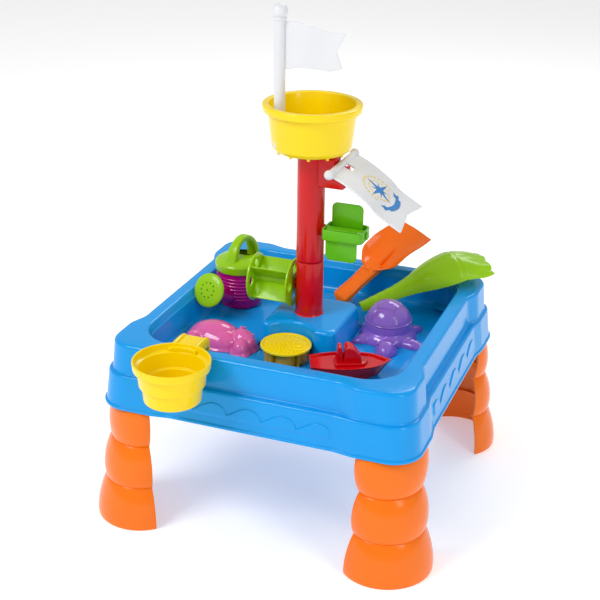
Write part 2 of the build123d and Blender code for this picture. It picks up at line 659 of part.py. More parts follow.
# ---------------------------------------------------------------- sail
sail_mid_y = (SAIL_Y[0] + SAIL_Y[1]) / 2
sail_width = SAIL_Y[1] - SAIL_Y[0]
with BuildPart() as sail:
    with BuildSketch(Plane((0, SAIL_Y[0], 0), x_dir=(1, 0, 0), z_dir=(0, -1, 0))):
        with BuildLine():
            upper_line = Spline(*SAIL_PATH)
            lower_line = Spline(*[(x, z - SAIL_T) for x, z in SAIL_PATH])
            Line(upper_line @ 0, lower_line @ 0)
            Line(upper_line @ 1, lower_line @ 1)
        make_face()
    extrude(amount=-sail_width)
    # swallow tail
    with BuildSketch(Plane.XY.offset(300)):
        with BuildLine():
            far = SAIL_PATH[-1][0] + 6
            Polyline((far, SAIL_Y[0]), (SAIL_PATH[-1][0] - SAIL_NOTCH, 3.0), (far, SAIL_Y[1]), close=True)
        make_face()
    extrude(amount=200, mode=Mode.SUBTRACT)
    # slot over the peg of the arm
    with BuildSketch(Plane((PEG_X, 0, 300))):
        RectangleRounded(PEG_SIZE[0] + 5, PEG_SIZE[1] + 3, 2.0)
    extrude(amount=200, mode=Mode.SUBTRACT)
    with BuildSketch(Plane((SAIL_ROD_X, SAIL_Y[0], SAIL_ROD_Z), x_dir=(1, 0, 0), z_dir=(0, 1, 0))):
        Circle(SAIL_ROD_R)
    extrude(amount=sail_width)
    with Locations((SAIL_ROD_X, SAIL_Y[0], SAIL_ROD_Z), (SAIL_ROD_X, SAIL_Y[1], SAIL_ROD_Z)):
        Sphere(SAIL_BALL_R)
save(sail.part, "sail")

# ---------------------------------------------------------------- hanging cup
with BuildPart() as hanging_cup:
    with BuildSketch(Plane((*CUP_XY, 0), x_dir=(1, 0, 0), z_dir=(0, -1, 0))):
        with BuildLine():
            inner = [(radius - CUP_WALL, z + CUP_WALL) for radius, z in reversed(CUP_TIERS[:-1])]
            mouth = (CUP_TIERS[-1][0] - CUP_WALL, CUP_RIM_Z)
            Polyline((0, CUP_BASE_Z), *CUP_TIERS, mouth, *inner, (0, CUP_BASE_Z + CUP_WALL), close=True)
        make_face()
    revolve(axis=Axis((*CUP_XY, 0), (0, 0, 1)))
    # hook over the rim: a bridge with a lip inside the basin and two raised horns
    hook_width = HOOK_X[1] - HOOK_X[0]
    hook_front = CUP_XY[1] + CUP_TIERS[-2][0] - 8
    with BuildPart(mode=Mode.PRIVATE) as hook:
        with BuildSketch(Plane((HOOK_X[0], 0, 0), x_dir=(0, 1, 0), z_dir=(1, 0, 0))):
            with BuildLine():
                Polyline(
                    (hook_front, HOOK_TOP),
                    (HOOK_BACK_Y - 3, HOOK_TOP),
                    (HOOK_BACK_Y, HOOK_TOP - 4),
                    (HOOK_BACK_Y, HOOK_LIP_Z),
                    (HOOK_BACK_Y - HOOK_LIP_T, HOOK_LIP_Z),
                    (HOOK_BACK_Y - HOOK_LIP_T, RIM_Z + CLEARANCE),
                    (hook_front, RIM_Z + CLEARANCE),
                    close=True,
                )
            make_face()
        extrude(amount=hook_width)
        for horn_x in (HOOK_X[0] + HOOK_HORN / 2, HOOK_X[1] - HOOK_HORN / 2):
            horn_length = HOOK_BACK_Y - 4 - hook_front
            with BuildSketch(Plane((horn_x, hook_front + horn_length / 2, HOOK_TOP))):
                Rectangle(HOOK_HORN, horn_length)
            extrude(amount=3, taper=20)
        with BuildSketch(Plane((*CUP_XY, 0))):
            Circle(CUP_TIERS[-2][0] - CUP_WALL + 0.5)
        extrude(amount=2 * CUP_RIM_Z, mode=Mode.SUBTRACT)
    add(hook.part)
save(hanging_cup.part, "hanging_cup")

# ---------------------------------------------------------------- watering can
spout_way = direction(CAN_AIM)
can_centre = Vector(*CAN_XY, 0)
can_axis = Axis((*CAN_XY, 0), (0, 0, 1))
can_section = Plane(origin=(*CAN_XY, 0), x_dir=spout_way, z_dir=spout_way.cross(Vector(0, 0, 1)))
with BuildPart() as can_body:
    with BuildSketch(can_section):
        with BuildLine():
            Polyline(
                (0, TOY_Z),
                (CAN_BASE_R, TOY_Z),
                (CAN_TOP_R, CAN_TOP_Z),
                (CAN_TOP_R - THIN_WALL, CAN_TOP_Z),
                (CAN_BASE_R - THIN_WALL, TOY_Z + THIN_WALL),
                (0, TOY_Z + THIN_WALL),
                close=True,
            )
        make_face()
    revolve(axis=can_axis)
    # raised rings round the upper part
    with BuildSketch(can_section):
        for ring in range(CAN_RIBS):
            ring_z = CAN_RIB_FIRST + ring * CAN_RIB_STEP
            ring_r = CAN_BASE_R + (CAN_TOP_R - CAN_BASE_R) * (ring_z - TOY_Z) / (CAN_TOP_Z - TOY_Z)
            with Locations((ring_r - 0.4, ring_z)):
                Circle(1.3)
    revolve(axis=can_axis)
save(can_body.part, "can_body")

with BuildPart() as can_lid:
    with BuildSketch(can_section):
        with BuildLine():
            Polyline(
                (0, LID_TOP),
                (LID_R - 14, LID_TOP - 1.5),
                (LID_R - 3, LID_BAND_TOP + 1),
                (LID_R, LID_BAND_TOP - 4),
                (LID_R, CAN_TOP_Z),
                (LID_R - THIN_WALL + 0.4, CAN_TOP_Z),
                (LID_R - THIN_WALL, LID_BAND_TOP - 4),
                (LID_R - 14, LID_TOP - 1.5 - THIN_WALL),
                (0, LID_TOP - THIN_WALL),
                close=True,
            )
        make_face()
    revolve(axis=can_axis)
    # filling hole towards the back
    with BuildSketch(Plane(can_centre - spout_way * 13)):
        Circle(LID_HOLE_R)
    extrude(amount=2 * LID_TOP, mode=Mode.SUBTRACT)
    # arched handle in the plane of the spout
    with BuildPart(mode=Mode.PRIVATE) as handle:
        with BuildSketch(can_section):
            with Locations((HANDLE_SHIFT, LID_BAND_TOP - 1)):
                Ellipse(HANDLE_SPAN, HANDLE_TOP - LID_BAND_TOP + 1)
                Ellipse(HANDLE_SPAN - HANDLE_T, HANDLE_TOP - LID_BAND_TOP + 1 - HANDLE_T, mode=Mode.SUBTRACT)
        extrude(amount=HANDLE_W / 2, both=True)
        split(bisect_by=Plane.XY.offset(LID_BAND_TOP + 0.5), keep=Keep.TOP)
    add(handle.part)
save(can_lid.part, "can_lid")

rose_normal = spout_way * cos(radians(ROSE_TILT)) + Vector(0, 0, sin(radians(ROSE_TILT)))
rose_centre = can_centre + spout_way * ROSE_REACH + Vector(0, 0, ROSE_Z)
rose_back = rose_centre - rose_normal * ROSE_DEPTH
spout_start = can_centre + spout_way * (CAN_BASE_R - 1) + Vector(0, 0, SPOUT_START_Z)
spout_run = rose_back - spout_start
spout_dir = spout_run.normalized()
rose_plane = Plane(origin=rose_back, z_dir=rose_normal)
with BuildPart() as can_spout:
    with BuildSketch(Plane(origin=spout_start, z_dir=spout_dir)):
        Circle(SPOUT_R + 2)
    with BuildSketch(rose_plane.offset(-2)):
        Circle(SPOUT_R - 1)
    loft()
    with BuildSketch(rose_plane.offset(-2)):
        Circle(SPOUT_R - 1)
    extrude(amount=2)
    add(can_body.part, mode=Mode.SUBTRACT)
    # nothing of the spout reaches inside the can
    with BuildSketch(can_section):
        with BuildLine():
            Polyline((0, TOY_Z), (CAN_BASE_R, TOY_Z), (CAN_TOP_R, CAN_TOP_Z), (0, CAN_TOP_Z), close=True)
        make_face()
    revolve(axis=can_axis, mode=Mode.SUBTRACT)
save(can_spout.part, "can_spout")

rose_section = Plane(origin=rose_back, x_dir=rose_plane.x_dir, z_dir=rose_plane.x_dir.cross(rose_normal))
with BuildPart() as can_rose:
    with BuildSketch(rose_section):
        with BuildLine():
            Polyline((0, 0), (SPOUT_R, 0), (ROSE_R, ROSE_DEPTH - 5), (ROSE_R, ROSE_DEPTH - 3))
            ThreePointArc((ROSE_R, ROSE_DEPTH - 3), (ROSE_R * 0.6, ROSE_DEPTH), (0, ROSE_DEPTH + 1.5))
            Line((0, ROSE_DEPTH + 1.5), (0, 0))
        make_face()
    revolve(axis=Axis(rose_back, rose_normal))
    with BuildSketch(rose_plane.offset(ROSE_DEPTH - 3)):
        with PolarLocations(9.5, 10):
            Circle(0.9)
        Circle(0.9)
    extrude(amount=6, mode=Mode.SUBTRACT)
save(can_rose.part, "can_rose")

# ---------------------------------------------------------------- hippo mould
# lobes of the side view: centre x, centre y, half length, half height
HIPPO_LOBES = [(-11, 2, 40, 30), (28, -1, 22, 18), (18, 19, 6.5, 6), (-33, -19, 15, 17), (35, -20, 13, 15)]


def hippo_outline(inset):
    """Side view of a hippo lying flat, drawn in by an inset."""
    with BuildSketch() as outline:
        for x, y, half_length, half_height in HIPPO_LOBES:
            if min(half_length, half_height) > inset + 1:
                with Locations((HIPPO_CENTRE[0] + x, HIPPO_CENTRE[1] + y)):
                    Ellipse(half_length - inset, half_height - inset)
    return outline.sketch


HIPPO_LAYERS = [(0.0, 17.0), (4.0, 22.0), (9.0, HIPPO_HEIGHT)]  # inset and height of each step of the relief
with BuildPart() as hippo_mould:
    for inset, height in HIPPO_LAYERS:
        with BuildSketch(Plane.XY.offset(TOY_Z)):
            add(hippo_outline(inset))
        extrude(amount=height)
    for inset, height in HIPPO_LAYERS:
        with BuildSketch(Plane.XY.offset(TOY_Z)):
            add(hippo_outline(inset + THIN_WALL))
        extrude(amount=height - THIN_WALL, mode=Mode.SUBTRACT)
save(hippo_mould.part, "hippo_mould")

# ---------------------------------------------------------------- turtle mould
turtle_ahead = direction(TURTLE_AIM)
turtle_plane = Plane(origin=(*TURTLE_CENTRE, TOY_Z), x_dir=turtle_ahead, z_dir=(0, 0, 1))
turtle_axis = Axis((*TURTLE_CENTRE, 0), (0, 0, 1))
FLIPPERS = [(50, 60, 12), (-57, 51, 11), (120, 51, 10), (-127, 46, 10)]  # compass offset, reach, half width
dome_rise = TURTLE_TOP - TURTLE_STEP_Z


def turtle_dome(inset):
    """Turned body of the turtle: a sloping skirt under a round shell."""
    upward = Vector(0, 0, 1)
    turn_plane = Plane(origin=(*TURTLE_CENTRE, 0), x_dir=turtle_ahead, z_dir=turtle_ahead.cross(upward))
    foot_r = TURTLE_DOME_R - inset
    rise = dome_rise - inset
    shell_r = (rise**2 + foot_r**2) / (2 * rise)
    shell_z = TURTLE_STEP_Z + rise - shell_r
    half_turn = radians(SHELL_MID_ANGLE)
    with BuildPart() as body:
        with BuildSketch(turn_plane):
            with BuildLine():
                Line((0, TOY_Z), (TURTLE_SKIRT_R - inset, TOY_Z))
                Line((TURTLE_SKIRT_R - inset, TOY_Z), (foot_r, TURTLE_STEP_Z))
                shoulder = (shell_r * cos(half_turn), shell_z + shell_r * sin(half_turn))
                shell = ThreePointArc((foot_r, TURTLE_STEP_Z), shoulder, (0, TURTLE_STEP_Z + rise))
                Line(shell @ 1, (0, TOY_Z))
            make_face()
        revolve(axis=turtle_axis)
    return body.part


with BuildPart() as turtle_mould:
    add(turtle_dome(0))
    for swing, reach, half in FLIPPERS:
        with BuildSketch(turtle_plane):
            middle = Vector((reach + 20) / 2, 0).rotate(Axis.Z, swing)
            with Locations((middle.X, middle.Y)):
                Ellipse((reach - 20) / 2, half, rotation=swing)
        extrude(amount=FLIPPER_T)
    with BuildSketch(turtle_plane):
        with Locations((TURTLE_HEAD_AT, 0)):
            Ellipse(*TURTLE_HEAD)
    extrude(amount=TURTLE_HEAD_T)
    add(turtle_dome(THIN_WALL), mode=Mode.SUBTRACT)
save(turtle_mould.part, "turtle_mould")

# ---------------------------------------------------------------- boat
boat_plane = Plane(origin=(*BOAT_STERN, 0), x_dir=direction(BOAT_AIM), z_dir=(0, 0, 1))


def boat_outline(beam, transom, start, end):
    """Deck-shaped face: square stern, full middle and a pointed bow."""
    half_way = start + (end - start) * 0.45
    with BuildSketch() as outline:
        with BuildLine():
            port = Spline((start, transom), (half_way, beam), (end, 0))
            starboard = Spline((start, -transom), (half_way, -beam), (end, 0))
            Line(port @ 0, starboard @ 0)
        make_face()
    return outline.sketch


with BuildPart() as boat_hull:
    with BuildSketch(boat_plane.offset(TOY_Z)):
        add(boat_outline(15, 11, 3, 84))
    with BuildSketch(boat_plane.offset(BOAT_DECK)):
        add(boat_outline(BOAT_BEAM, BOAT_TRANSOM, 0, BOAT_LENGTH))
    loft(ruled=True)
    with BuildSketch(boat_plane.offset(BOAT_DECK)):
        add(boat_outline(BOAT_BEAM - BOAT_RIM, BOAT_TRANSOM - BOAT_RIM, BOAT_RIM, BOAT_LENGTH - 3 * BOAT_RIM))
    extrude(amount=-BOAT_RIM, mode=Mode.SUBTRACT)
    with BuildSketch(boat_plane.offset(TOY_Z)):
        add(boat_outline(12, 8, 6, 78))
    extrude(amount=BOAT_DECK - TOY_Z - 2 * BOAT_RIM, mode=Mode.SUBTRACT)
save(boat_hull.part, "boat_hull")

BOAT_DECK_LOW = BOAT_DECK - BOAT_RIM
with BuildPart() as boat_cabin:
    # raked screen and a fin behind it
    with BuildSketch(Plane(origin=boat_plane.origin, x_dir=boat_plane.x_dir, z_dir=-boat_plane.y_dir)):
        with BuildLine():
            Polyline((31, BOAT_DECK_LOW), (64, BOAT_DECK_LOW), (46, 242.5), (39, 229), (35, 242), close=True)
        make_face()
    extrude(amount=11, both=True)
save(boat_cabin.part, "boat_cabin")

# ---------------------------------------------------------------- sieve
sieve_plate_z = SIEVE_TOP - SIEVE_PLATE
with BuildPart() as sieve_disc:
    with BuildSketch(Plane((*SIEVE_XY, sieve_plate_z))):
        Circle(SIEVE_R)
        for ring_r, count in ((7.0, 6), (14.0, 12), (24.0, 20)):
            with PolarLocations(ring_r, count):
                Circle(1.0, mode=Mode.SUBTRACT)
    extrude(amount=SIEVE_PLATE - 1)
    with BuildSketch(Plane((*SIEVE_XY, sieve_plate_z))):
        Circle(SIEVE_R)
        Circle(SIEVE_R - 2, mode=Mode.SUBTRACT)
    extrude(amount=SIEVE_PLATE)
save(sieve_disc.part, "sieve_disc")

with BuildPart() as sieve_base:
    with BuildSketch(Plane((*SIEVE_XY, TOY_Z))):
        with PolarLocations(15.5, SIEVE_LOBES):
            Circle(12.5)
        with PolarLocations(15.5, SIEVE_LOBES):
            Circle(10.7, mode=Mode.SUBTRACT)
        with PolarLocations(26.0, SIEVE_LOBES, start_angle=36):
            Rectangle(10, 1.8)
        with PolarLocations(14.0, SIEVE_LOBES):
            Rectangle(28, 1.8)
    extrude(amount=sieve_plate_z - TOY_Z)
save(sieve_base.part, "sieve_base")

# ---------------------------------------------------------------- spade
spade_plane = tilted(SPADE_FOOT, SPADE_AIM, SPADE_TILT, SPADE_ROLL)
spade_floor = 2.4
spade_wall = 13.0
spade_end = SPADE_LENGTH
with BuildPart() as spade:
    with BuildSketch(spade_plane):
        with BuildLine():
            FilletPolyline(
                (SPADE_HEEL, -SPADE_HALF + 12),
                (SPADE_HEEL + 14, -SPADE_HALF),
                (spade_end, -SPADE_HALF),
                (spade_end, SPADE_HALF),
                (SPADE_HEEL + 14, SPADE_HALF),
                (SPADE_HEEL, SPADE_HALF - 12),
                radius=[3, 8, 0, 0, 8, 3],
                close=True,
            )
        make_face()
    extrude(amount=spade_wall, taper=-8)
    # tray open at the tip, its sides falling towards the front edge
    with BuildSketch(spade_plane.offset(spade_floor)):
        with BuildLine():
            FilletPolyline(
                (SPADE_HEEL + 3, -SPADE_HALF + 13),
                (SPADE_HEEL + 16, -SPADE_HALF + 2.2),
                (spade_end + 20, -SPADE_HALF + 2.2),
                (spade_end + 20, SPADE_HALF - 2.2),
                (SPADE_HEEL + 16, SPADE_HALF - 2.2),
                (SPADE_HEEL + 3, SPADE_HALF - 13),
                radius=[3, 8, 0, 0, 8, 3],
                close=True,
            )
        make_face()
    extrude(amount=spade_wall, taper=-8, mode=Mode.SUBTRACT)
    side_view = Plane(origin=spade_plane.origin, x_dir=spade_plane.x_dir, z_dir=-spade_plane.y_dir)
    with BuildSketch(side_view):
        with BuildLine():
            Polyline(
                (SPADE_HEEL + 35, spade_wall + 1),
                (spade_end + 5, spade_floor + 1),
                (spade_end + 5, spade_wall + 5),
                (SPADE_HEEL + 35, spade_wall + 5),
                close=True,
            )
        make_face()
    extrude(amount=2 * SPADE_HALF, both=True, mode=Mode.SUBTRACT)
    # handle
    with BuildSketch(spade_plane):
        with BuildLine():
            FilletPolyline(
                (0, 0),
                (8, -SPADE_HANDLE_W / 2),
                (SPADE_HEEL + 6, -SPADE_HANDLE_W / 2),
                (SPADE_HEEL + 6, SPADE_HANDLE_W / 2),
                (8, SPADE_HANDLE_W / 2),
                radius=[2, 4, 0, 0, 4],
                close=True,
            )
        make_face()
    extrude(amount=SPADE_HANDLE_T)
    split(bisect_by=Plane.XY.offset(TOY_Z), keep=Keep.TOP)
save(spade.part, "spade")

# ---------------------------------------------------------------- scoop
scoop_plane = tilted(SCOOP_FOOT, SCOOP_AIM, SCOOP_TILT)


def scoop_solid(inset):
    """Domed blade drawn out into a narrow handle, flat below."""
    with BuildPart() as body:
        for station, half, rise in SCOOP_SECTIONS:
            across = Plane(
                origin=scoop_plane.from_local_coords((station, 0, 0)),
                x_dir=scoop_plane.y_dir,
                z_dir=scoop_plane.x_dir,
            )
            with BuildSketch(across):
                with BuildLine():
                    rim_x = half - inset
                    rim_z = rise - inset
                    dome = EllipticalCenterArc((0, 0), rim_x, rim_z, start_angle=0, arc_size=180)
                    Line(dome @ 1, dome @ 0)
                make_face()
        loft(ruled=True)
    return body.part


with BuildPart() as scoop:
    add(scoop_solid(0))
    add(scoop_solid(THIN_WALL), mode=Mode.SUBTRACT)
    split(bisect_by=Plane.XY.offset(TOY_Z), keep=Keep.TOP)
save(scoop.part, "scoop")
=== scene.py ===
import math

import bmesh
import bpy
import numpy as np
from mathutils import Matrix, Vector


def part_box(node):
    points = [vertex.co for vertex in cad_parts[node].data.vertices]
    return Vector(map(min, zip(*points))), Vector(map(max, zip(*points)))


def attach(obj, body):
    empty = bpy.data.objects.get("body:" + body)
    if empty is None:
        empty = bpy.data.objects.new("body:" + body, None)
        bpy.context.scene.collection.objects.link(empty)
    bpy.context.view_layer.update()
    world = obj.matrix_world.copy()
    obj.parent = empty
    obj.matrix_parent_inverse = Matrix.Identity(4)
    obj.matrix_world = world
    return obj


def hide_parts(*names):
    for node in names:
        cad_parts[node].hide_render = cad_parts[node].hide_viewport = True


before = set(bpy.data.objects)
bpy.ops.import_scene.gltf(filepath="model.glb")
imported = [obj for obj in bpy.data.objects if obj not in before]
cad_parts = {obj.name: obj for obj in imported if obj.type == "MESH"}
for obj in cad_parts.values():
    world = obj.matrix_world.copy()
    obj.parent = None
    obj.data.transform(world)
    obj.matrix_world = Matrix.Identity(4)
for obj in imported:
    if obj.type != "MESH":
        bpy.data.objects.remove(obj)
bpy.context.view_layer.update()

# Sand and water table: looks. Helper shapes take millimetres in the shared frame.
MM = 0.001


# ---------------------------------------------------------------- places
def low(node):
    """Lowest corner of a CAD node, in millimetres."""
    return np.array(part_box(node)[0]) / MM


def high(node):
    """Highest corner of a CAD node, in millimetres."""
    return np.array(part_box(node)[1]) / MM


def middle(node):
    return (low(node) + high(node)) / 2


# ---------------------------------------------------------------- plane geometry
def smoothstep(a, b, x):
    t = np.clip((np.asarray(x, float) - a) / (b - a), 0.0, 1.0)
    return t * t * (3.0 - 2.0 * t)


def rounded(points, radius, closed=False, steps=6):
    """A polyline with its corners turned into arcs; radius is one value or one per point."""
    points = [np.array(p, float) for p in points]
    count = len(points)
    radii = [radius] * count if np.isscalar(radius) else list(radius)
    out = []
    for i, p in enumerate(points):
        r = radii[i]
        if (not closed and i in (0, count - 1)) or r <= 0:
            out.append(p)
            continue
        a = points[i - 1]
        b = points[(i + 1) % count]
        u = (a - p) / np.linalg.norm(a - p)
        v = (b - p) / np.linalg.norm(b - p)
        cosine = float(np.clip(np.dot(u, v), -1, 1))
        angle = math.acos(cosine)
        if angle > math.radians(177):
            out.append(p)
            continue
        cut = r / math.tan(angle / 2)
        cut = min(cut, 0.49 * np.linalg.norm(a - p), 0.49 * np.linalg.norm(b - p))
        r = cut * math.tan(angle / 2)
        start = p + u * cut
        end = p + v * cut
        bis = (u + v) / np.linalg.norm(u + v)
        centre = p + bis * (r / math.sin(angle / 2))
        s = start - centre
        e = end - centre
        sweep = math.atan2(s[0] * e[1] - s[1] * e[0], float(np.dot(s, e)))
        for k in range(steps + 1):
            t = sweep * k / steps
            c, n = math.cos(t), math.sin(t)
            out.append(centre + np.array([s[0] * c - s[1] * n, s[0] * n + s[1] * c]))
    return np.array(out)


def spline(points, count):
    """Smooth curve through points, by Catmull-Rom pieces."""
    p = np.array(points, float)
    p = np.vstack([2 * p[0] - p[1], p, 2 * p[-1] - p[-2]])
    spans = len(p) - 3
    out = []
    for k in range(count):
        t = spans * k / (count - 1)
        i = min(int(t), spans - 1)
        t -= i
        a, b, c, d = p[i : i + 4]
        out.append(
            0.5 * (
                2 * b + (c - a) * t + (2 * a - 5 * b + 4 * c - d) * t**2 + (3 * b - a - 3 * c + d) * t**3
            )
        )
    return np.array(out)


def densify(points, step):
    """Closed polyline with extra points so no gap is longer than a step."""
    out = []
    for i, p in enumerate(points):
        q = points[(i + 1) % len(points)]
        parts = max(1, int(np.linalg.norm(q - p) / step))
        for k in range(parts):
            out.append(p + (q - p) * k / parts)
    return np.array(out)


def polar(points, angles, centre=(0.0, 0.0)):
    """Radius of a closed outline along each angle from a centre it surrounds."""
    d = densify(np.array(points, float), 0.8) - np.array(centre)
    a = np.mod(np.arctan2(d[:, 1], d[:, 0]), 2 * math.pi)
    r = np.hypot(d[:, 0], d[:, 1])
    order = np.argsort(a)
    return np.interp(angles, a[order], r[order], period=2 * math.pi)


def ring_at(radii, angles, z, centre=(0.0, 0.0)):
    x = centre[0] + radii * np.cos(angles)
    y = centre[1] + radii * np.sin(angles)
    return np.stack([x, y, np.full_like(x, z)], axis=1)


# ---------------------------------------------------------------- meshes
def make(name, verts, faces, sharp=40.0):
    """Mesh object from millimetre vertices, smooth with sharp folds."""
    data = bpy.data.meshes.new(name)
    data.from_pydata(
        [tuple(float(c) * MM for c in v) for v in verts], [], [tuple(int(i) for i in f) for f in faces]
    )
    data.update()
    data.shade_smooth()
    data.set_sharp_from_angle(angle=math.radians(sharp))
    obj = bpy.data.objects.new(name, data)
    bpy.context.scene.collection.objects.link(obj)
    return obj


def grid_faces(rows, cols, closed=False, start=0):
    faces = []
    span = cols if closed else cols - 1
    for i in range(rows - 1):
        for j in range(span):
            k = (j + 1) % cols
            faces.append(
                (
                    start + i * cols + j, start + i * cols + k, start + (i + 1) * cols + k,
                    start + (i + 1) * cols + j
                )
            )
    return faces


def skin(name, rings, closed=True, cap_first=False, cap_last=False, sharp=40.0):
    """Surface through rings of equal length."""
    rings = np.array(rings, float)
    rows, cols = rings.shape[:2]
    faces = grid_faces(rows, cols, closed)
    if cap_first:
        faces.append(tuple(range(cols))[::-1])
    if cap_last:
        faces.append(tuple((rows - 1) * cols + j for j in range(cols)))
    return make(name, rings.reshape(-1, 3), faces, sharp)


def frame_matrix(origin, z_dir, x_dir=None):
    """Columns x, y, z of a frame at an origin."""
    z = np.array(z_dir, float) / np.linalg.norm(z_dir)
    x = np.array(x_dir if x_dir is not None else ((1, 0, 0) if abs(z[0]) < 0.9 else (0, 1, 0)), float)
    x = x - z * np.dot(x, z)
    x /= np.linalg.norm(x)
    y = np.cross(z, x)
    return np.array(origin, float), np.stack([x, y, z], axis=1)


UPRIGHT = np.eye(3)
FACING = np.array([[1, 0, 0], [0, 0, -1], [0, 1, 0]], float)  # a flat shape stood up in the X-Z plane
FOLD = 38.0  # edges sharper than this stay crisp after a modifier


def place(points, at):
    origin, axes = at
    return np.array(points, float) @ axes.T + origin


def lathe(name, profile, at, segments=96, sharp=40.0):
    """Turned surface from (radius, height) pairs about the z axis of a frame."""
    turn = np.linspace(0, 2 * math.pi, segments, endpoint=False)
    rings = []
    for r, z in profile:
        ring = np.stack([r * np.cos(turn), r * np.sin(turn), np.full(segments, z)], axis=1)
        rings.append(place(ring, at))
    return skin(name, rings, True, sharp=sharp)


def prism(name, outline, bottom, top, at, bevel=0.6, holes=(), sharp=35.0):
    """Straight extrusion of a flat outline with softened edges and round holes (x, y, radius)."""
    outline = np.array(outline, float)
    n = len(outline)
    lower = np.hstack([outline, np.full((n, 1), bottom)])
    upper = np.hstack([outline, np.full((n, 1), top)])
    verts = place(np.vstack([lower, upper]), at)
    faces = [tuple(range(n))[::-1], tuple(range(n, 2 * n))]
    faces += [(i, (i + 1) % n, n + (i + 1) % n, n + i) for i in range(n)]
    obj = make(name, verts, faces, sharp)
    for x, y, r in holes:
        turn = np.linspace(0, 2 * math.pi, 32, endpoint=False)
        circle = np.stack([x + r * np.cos(turn), y + r * np.sin(turn)], axis=1)
        cutter = prism(name + "_cut", circle, bottom - 3, top + 3, at, bevel=0)
        cut(obj, cutter)
    if bevel > 0:
        soften(obj, bevel)
    return obj


def apply_all(obj):
    """Bake an object's modifiers into its mesh."""
    deps = bpy.context.evaluated_depsgraph_get()
    data = bpy.data.meshes.new_from_object(obj.evaluated_get(deps))
    obj.modifiers.clear()
    obj.data = data
    return obj


def cut(obj, cutter, mode="DIFFERENCE"):
    mod = obj.modifiers.new("cut", "BOOLEAN")
    mod.operation = mode
    mod.solver = "EXACT"
    mod.object = cutter
    apply_all(obj)
    bpy.data.objects.remove(cutter)
    return obj


def soften(obj, width, angle=32.0, segments=3):
    mod = obj.modifiers.new("soft_edges", "BEVEL")
    mod.width = width * MM
    mod.segments = segments
    mod.limit_method = "ANGLE"
    mod.angle_limit = math.radians(angle)
    apply_all(obj)
    obj.data.shade_smooth()
    obj.data.set_sharp_from_angle(angle=math.radians(FOLD))
    return obj


def thicken(obj, thickness, offset=-1.0):
    mod = obj.modifiers.new("wall", "SOLIDIFY")
    mod.thickness = thickness * MM
    mod.offset = offset
    mod.use_even_offset = True
    apply_all(obj)
    obj.data.shade_smooth()
    obj.data.set_sharp_from_angle(angle=math.radians(FOLD))
    return obj


def join(name, parts):
    """One object from several."""
    verts, faces = [], []
    for p in parts:
        start = len(verts)
        verts += [tuple(v.co) for v in p.data.vertices]
        faces += [tuple(start + i for i in f.vertices) for f in p.data.polygons]
    data = bpy.data.meshes.new(name)
    data.from_pydata(verts, [], faces)
    data.update()
    data.shade_smooth()
    data.set_sharp_from_angle(angle=math.radians(FOLD))
    for p in parts:
        bpy.data.objects.remove(p)
    obj = bpy.data.objects.new(name, data)
    bpy.context.scene.collection.objects.link(obj)
    return obj


def melt(name, lumps, voxel, smooth, floor_z=None):
    """Smooth union of ellipsoids (centre, half sizes, turn about z in degrees)."""
    parts = []
    turn = np.linspace(0, 2 * math.pi, 48, endpoint=False)
    for centre, half, swing in lumps:
        rings = []
        for t in np.linspace(-math.pi / 2 + 0.03, math.pi / 2 - 0.03, 25):
            r = math.cos(t)
            ring = np.stack(
                [
                    half[0] * r * np.cos(turn), half[1] * r * np.sin(turn),
                    np.full(48, half[2] * math.sin(t))
                ],
                axis=1
            )
            rings.append(
                place(
                    ring,
                    frame_matrix(
                        centre, (0, 0, 1), (math.cos(math.radians(swing)), math.sin(math.radians(swing)), 0)
                    )
                )
            )
        parts.append(skin(name + "_lump", rings, True, True, True))
    obj = join(name, parts)
    mod = obj.modifiers.new("melt", "REMESH")
    mod.mode = "VOXEL"
    mod.voxel_size = voxel * MM
    soft = obj.modifiers.new("soften", "SMOOTH")
    soft.factor = 0.6
    soft.iterations = smooth
    apply_all(obj)
    if floor_z is not None:
        co = np.zeros(len(obj.data.vertices) * 3)
        obj.data.vertices.foreach_get("co", co)
        co = co.reshape(-1, 3)
        co[:, 2] = np.maximum(co[:, 2], floor_z * MM)
        obj.data.vertices.foreach_set("co", co.ravel())
    obj.data.update()
    obj.data.shade_smooth()
    return obj


def tube(name, path, radius, segments=12):
    """Round bar along a path of points; radius is one value or one per point."""
    path = np.array(path, float)
    radii = np.full(len(path), radius, float) if np.isscalar(radius) else np.array(radius, float)
    turn = np.linspace(0, 2 * math.pi, segments, endpoint=False)
    rings = []
    side = None
    for i, p in enumerate(path):
        a = path[max(i - 1, 0)]
        b = path[min(i + 1, len(path) - 1)]
        way = (b - a) / np.linalg.norm(b - a)
        if side is None:
            side = np.cross(way, (0, 0, 1) if abs(way[2]) < 0.9 else (1, 0, 0))
        side = side - way * np.dot(side, way)
        side /= np.linalg.norm(side)
        other = np.cross(way, side)
        rings.append([p + radii[i] * (math.cos(t) * side + math.sin(t) * other) for t in turn])
    return skin(name, rings, True, True, True)


def bar(name, path, section, ups):
    """A flat section (across, up) carried along a path with an up direction at each point."""
    rings = []
    path = np.array(path, float)
    for i, p in enumerate(path):
        a = path[max(i - 1, 0)]
        b = path[min(i + 1, len(path) - 1)]
        way = (b - a) / np.linalg.norm(b - a)
        up = np.array(ups[i], float)
        up = up - way * np.dot(up, way)
        up /= np.linalg.norm(up)
        across = np.cross(way, up)
        rings.append([p + across * s + up * t for s, t in section[i]])
    return skin(name, rings, True, True, True)


# ---------------------------------------------------------------- materials
def linear(code):
    """Linear colour from a hex code."""
    values = [int(code[i : i + 2], 16) / 255 for i in (0, 2, 4)]
    return [v / 12.92 if v <= 0.04045 else ((v + 0.055) / 1.055) ** 2.4 for v in values] + [1.0]


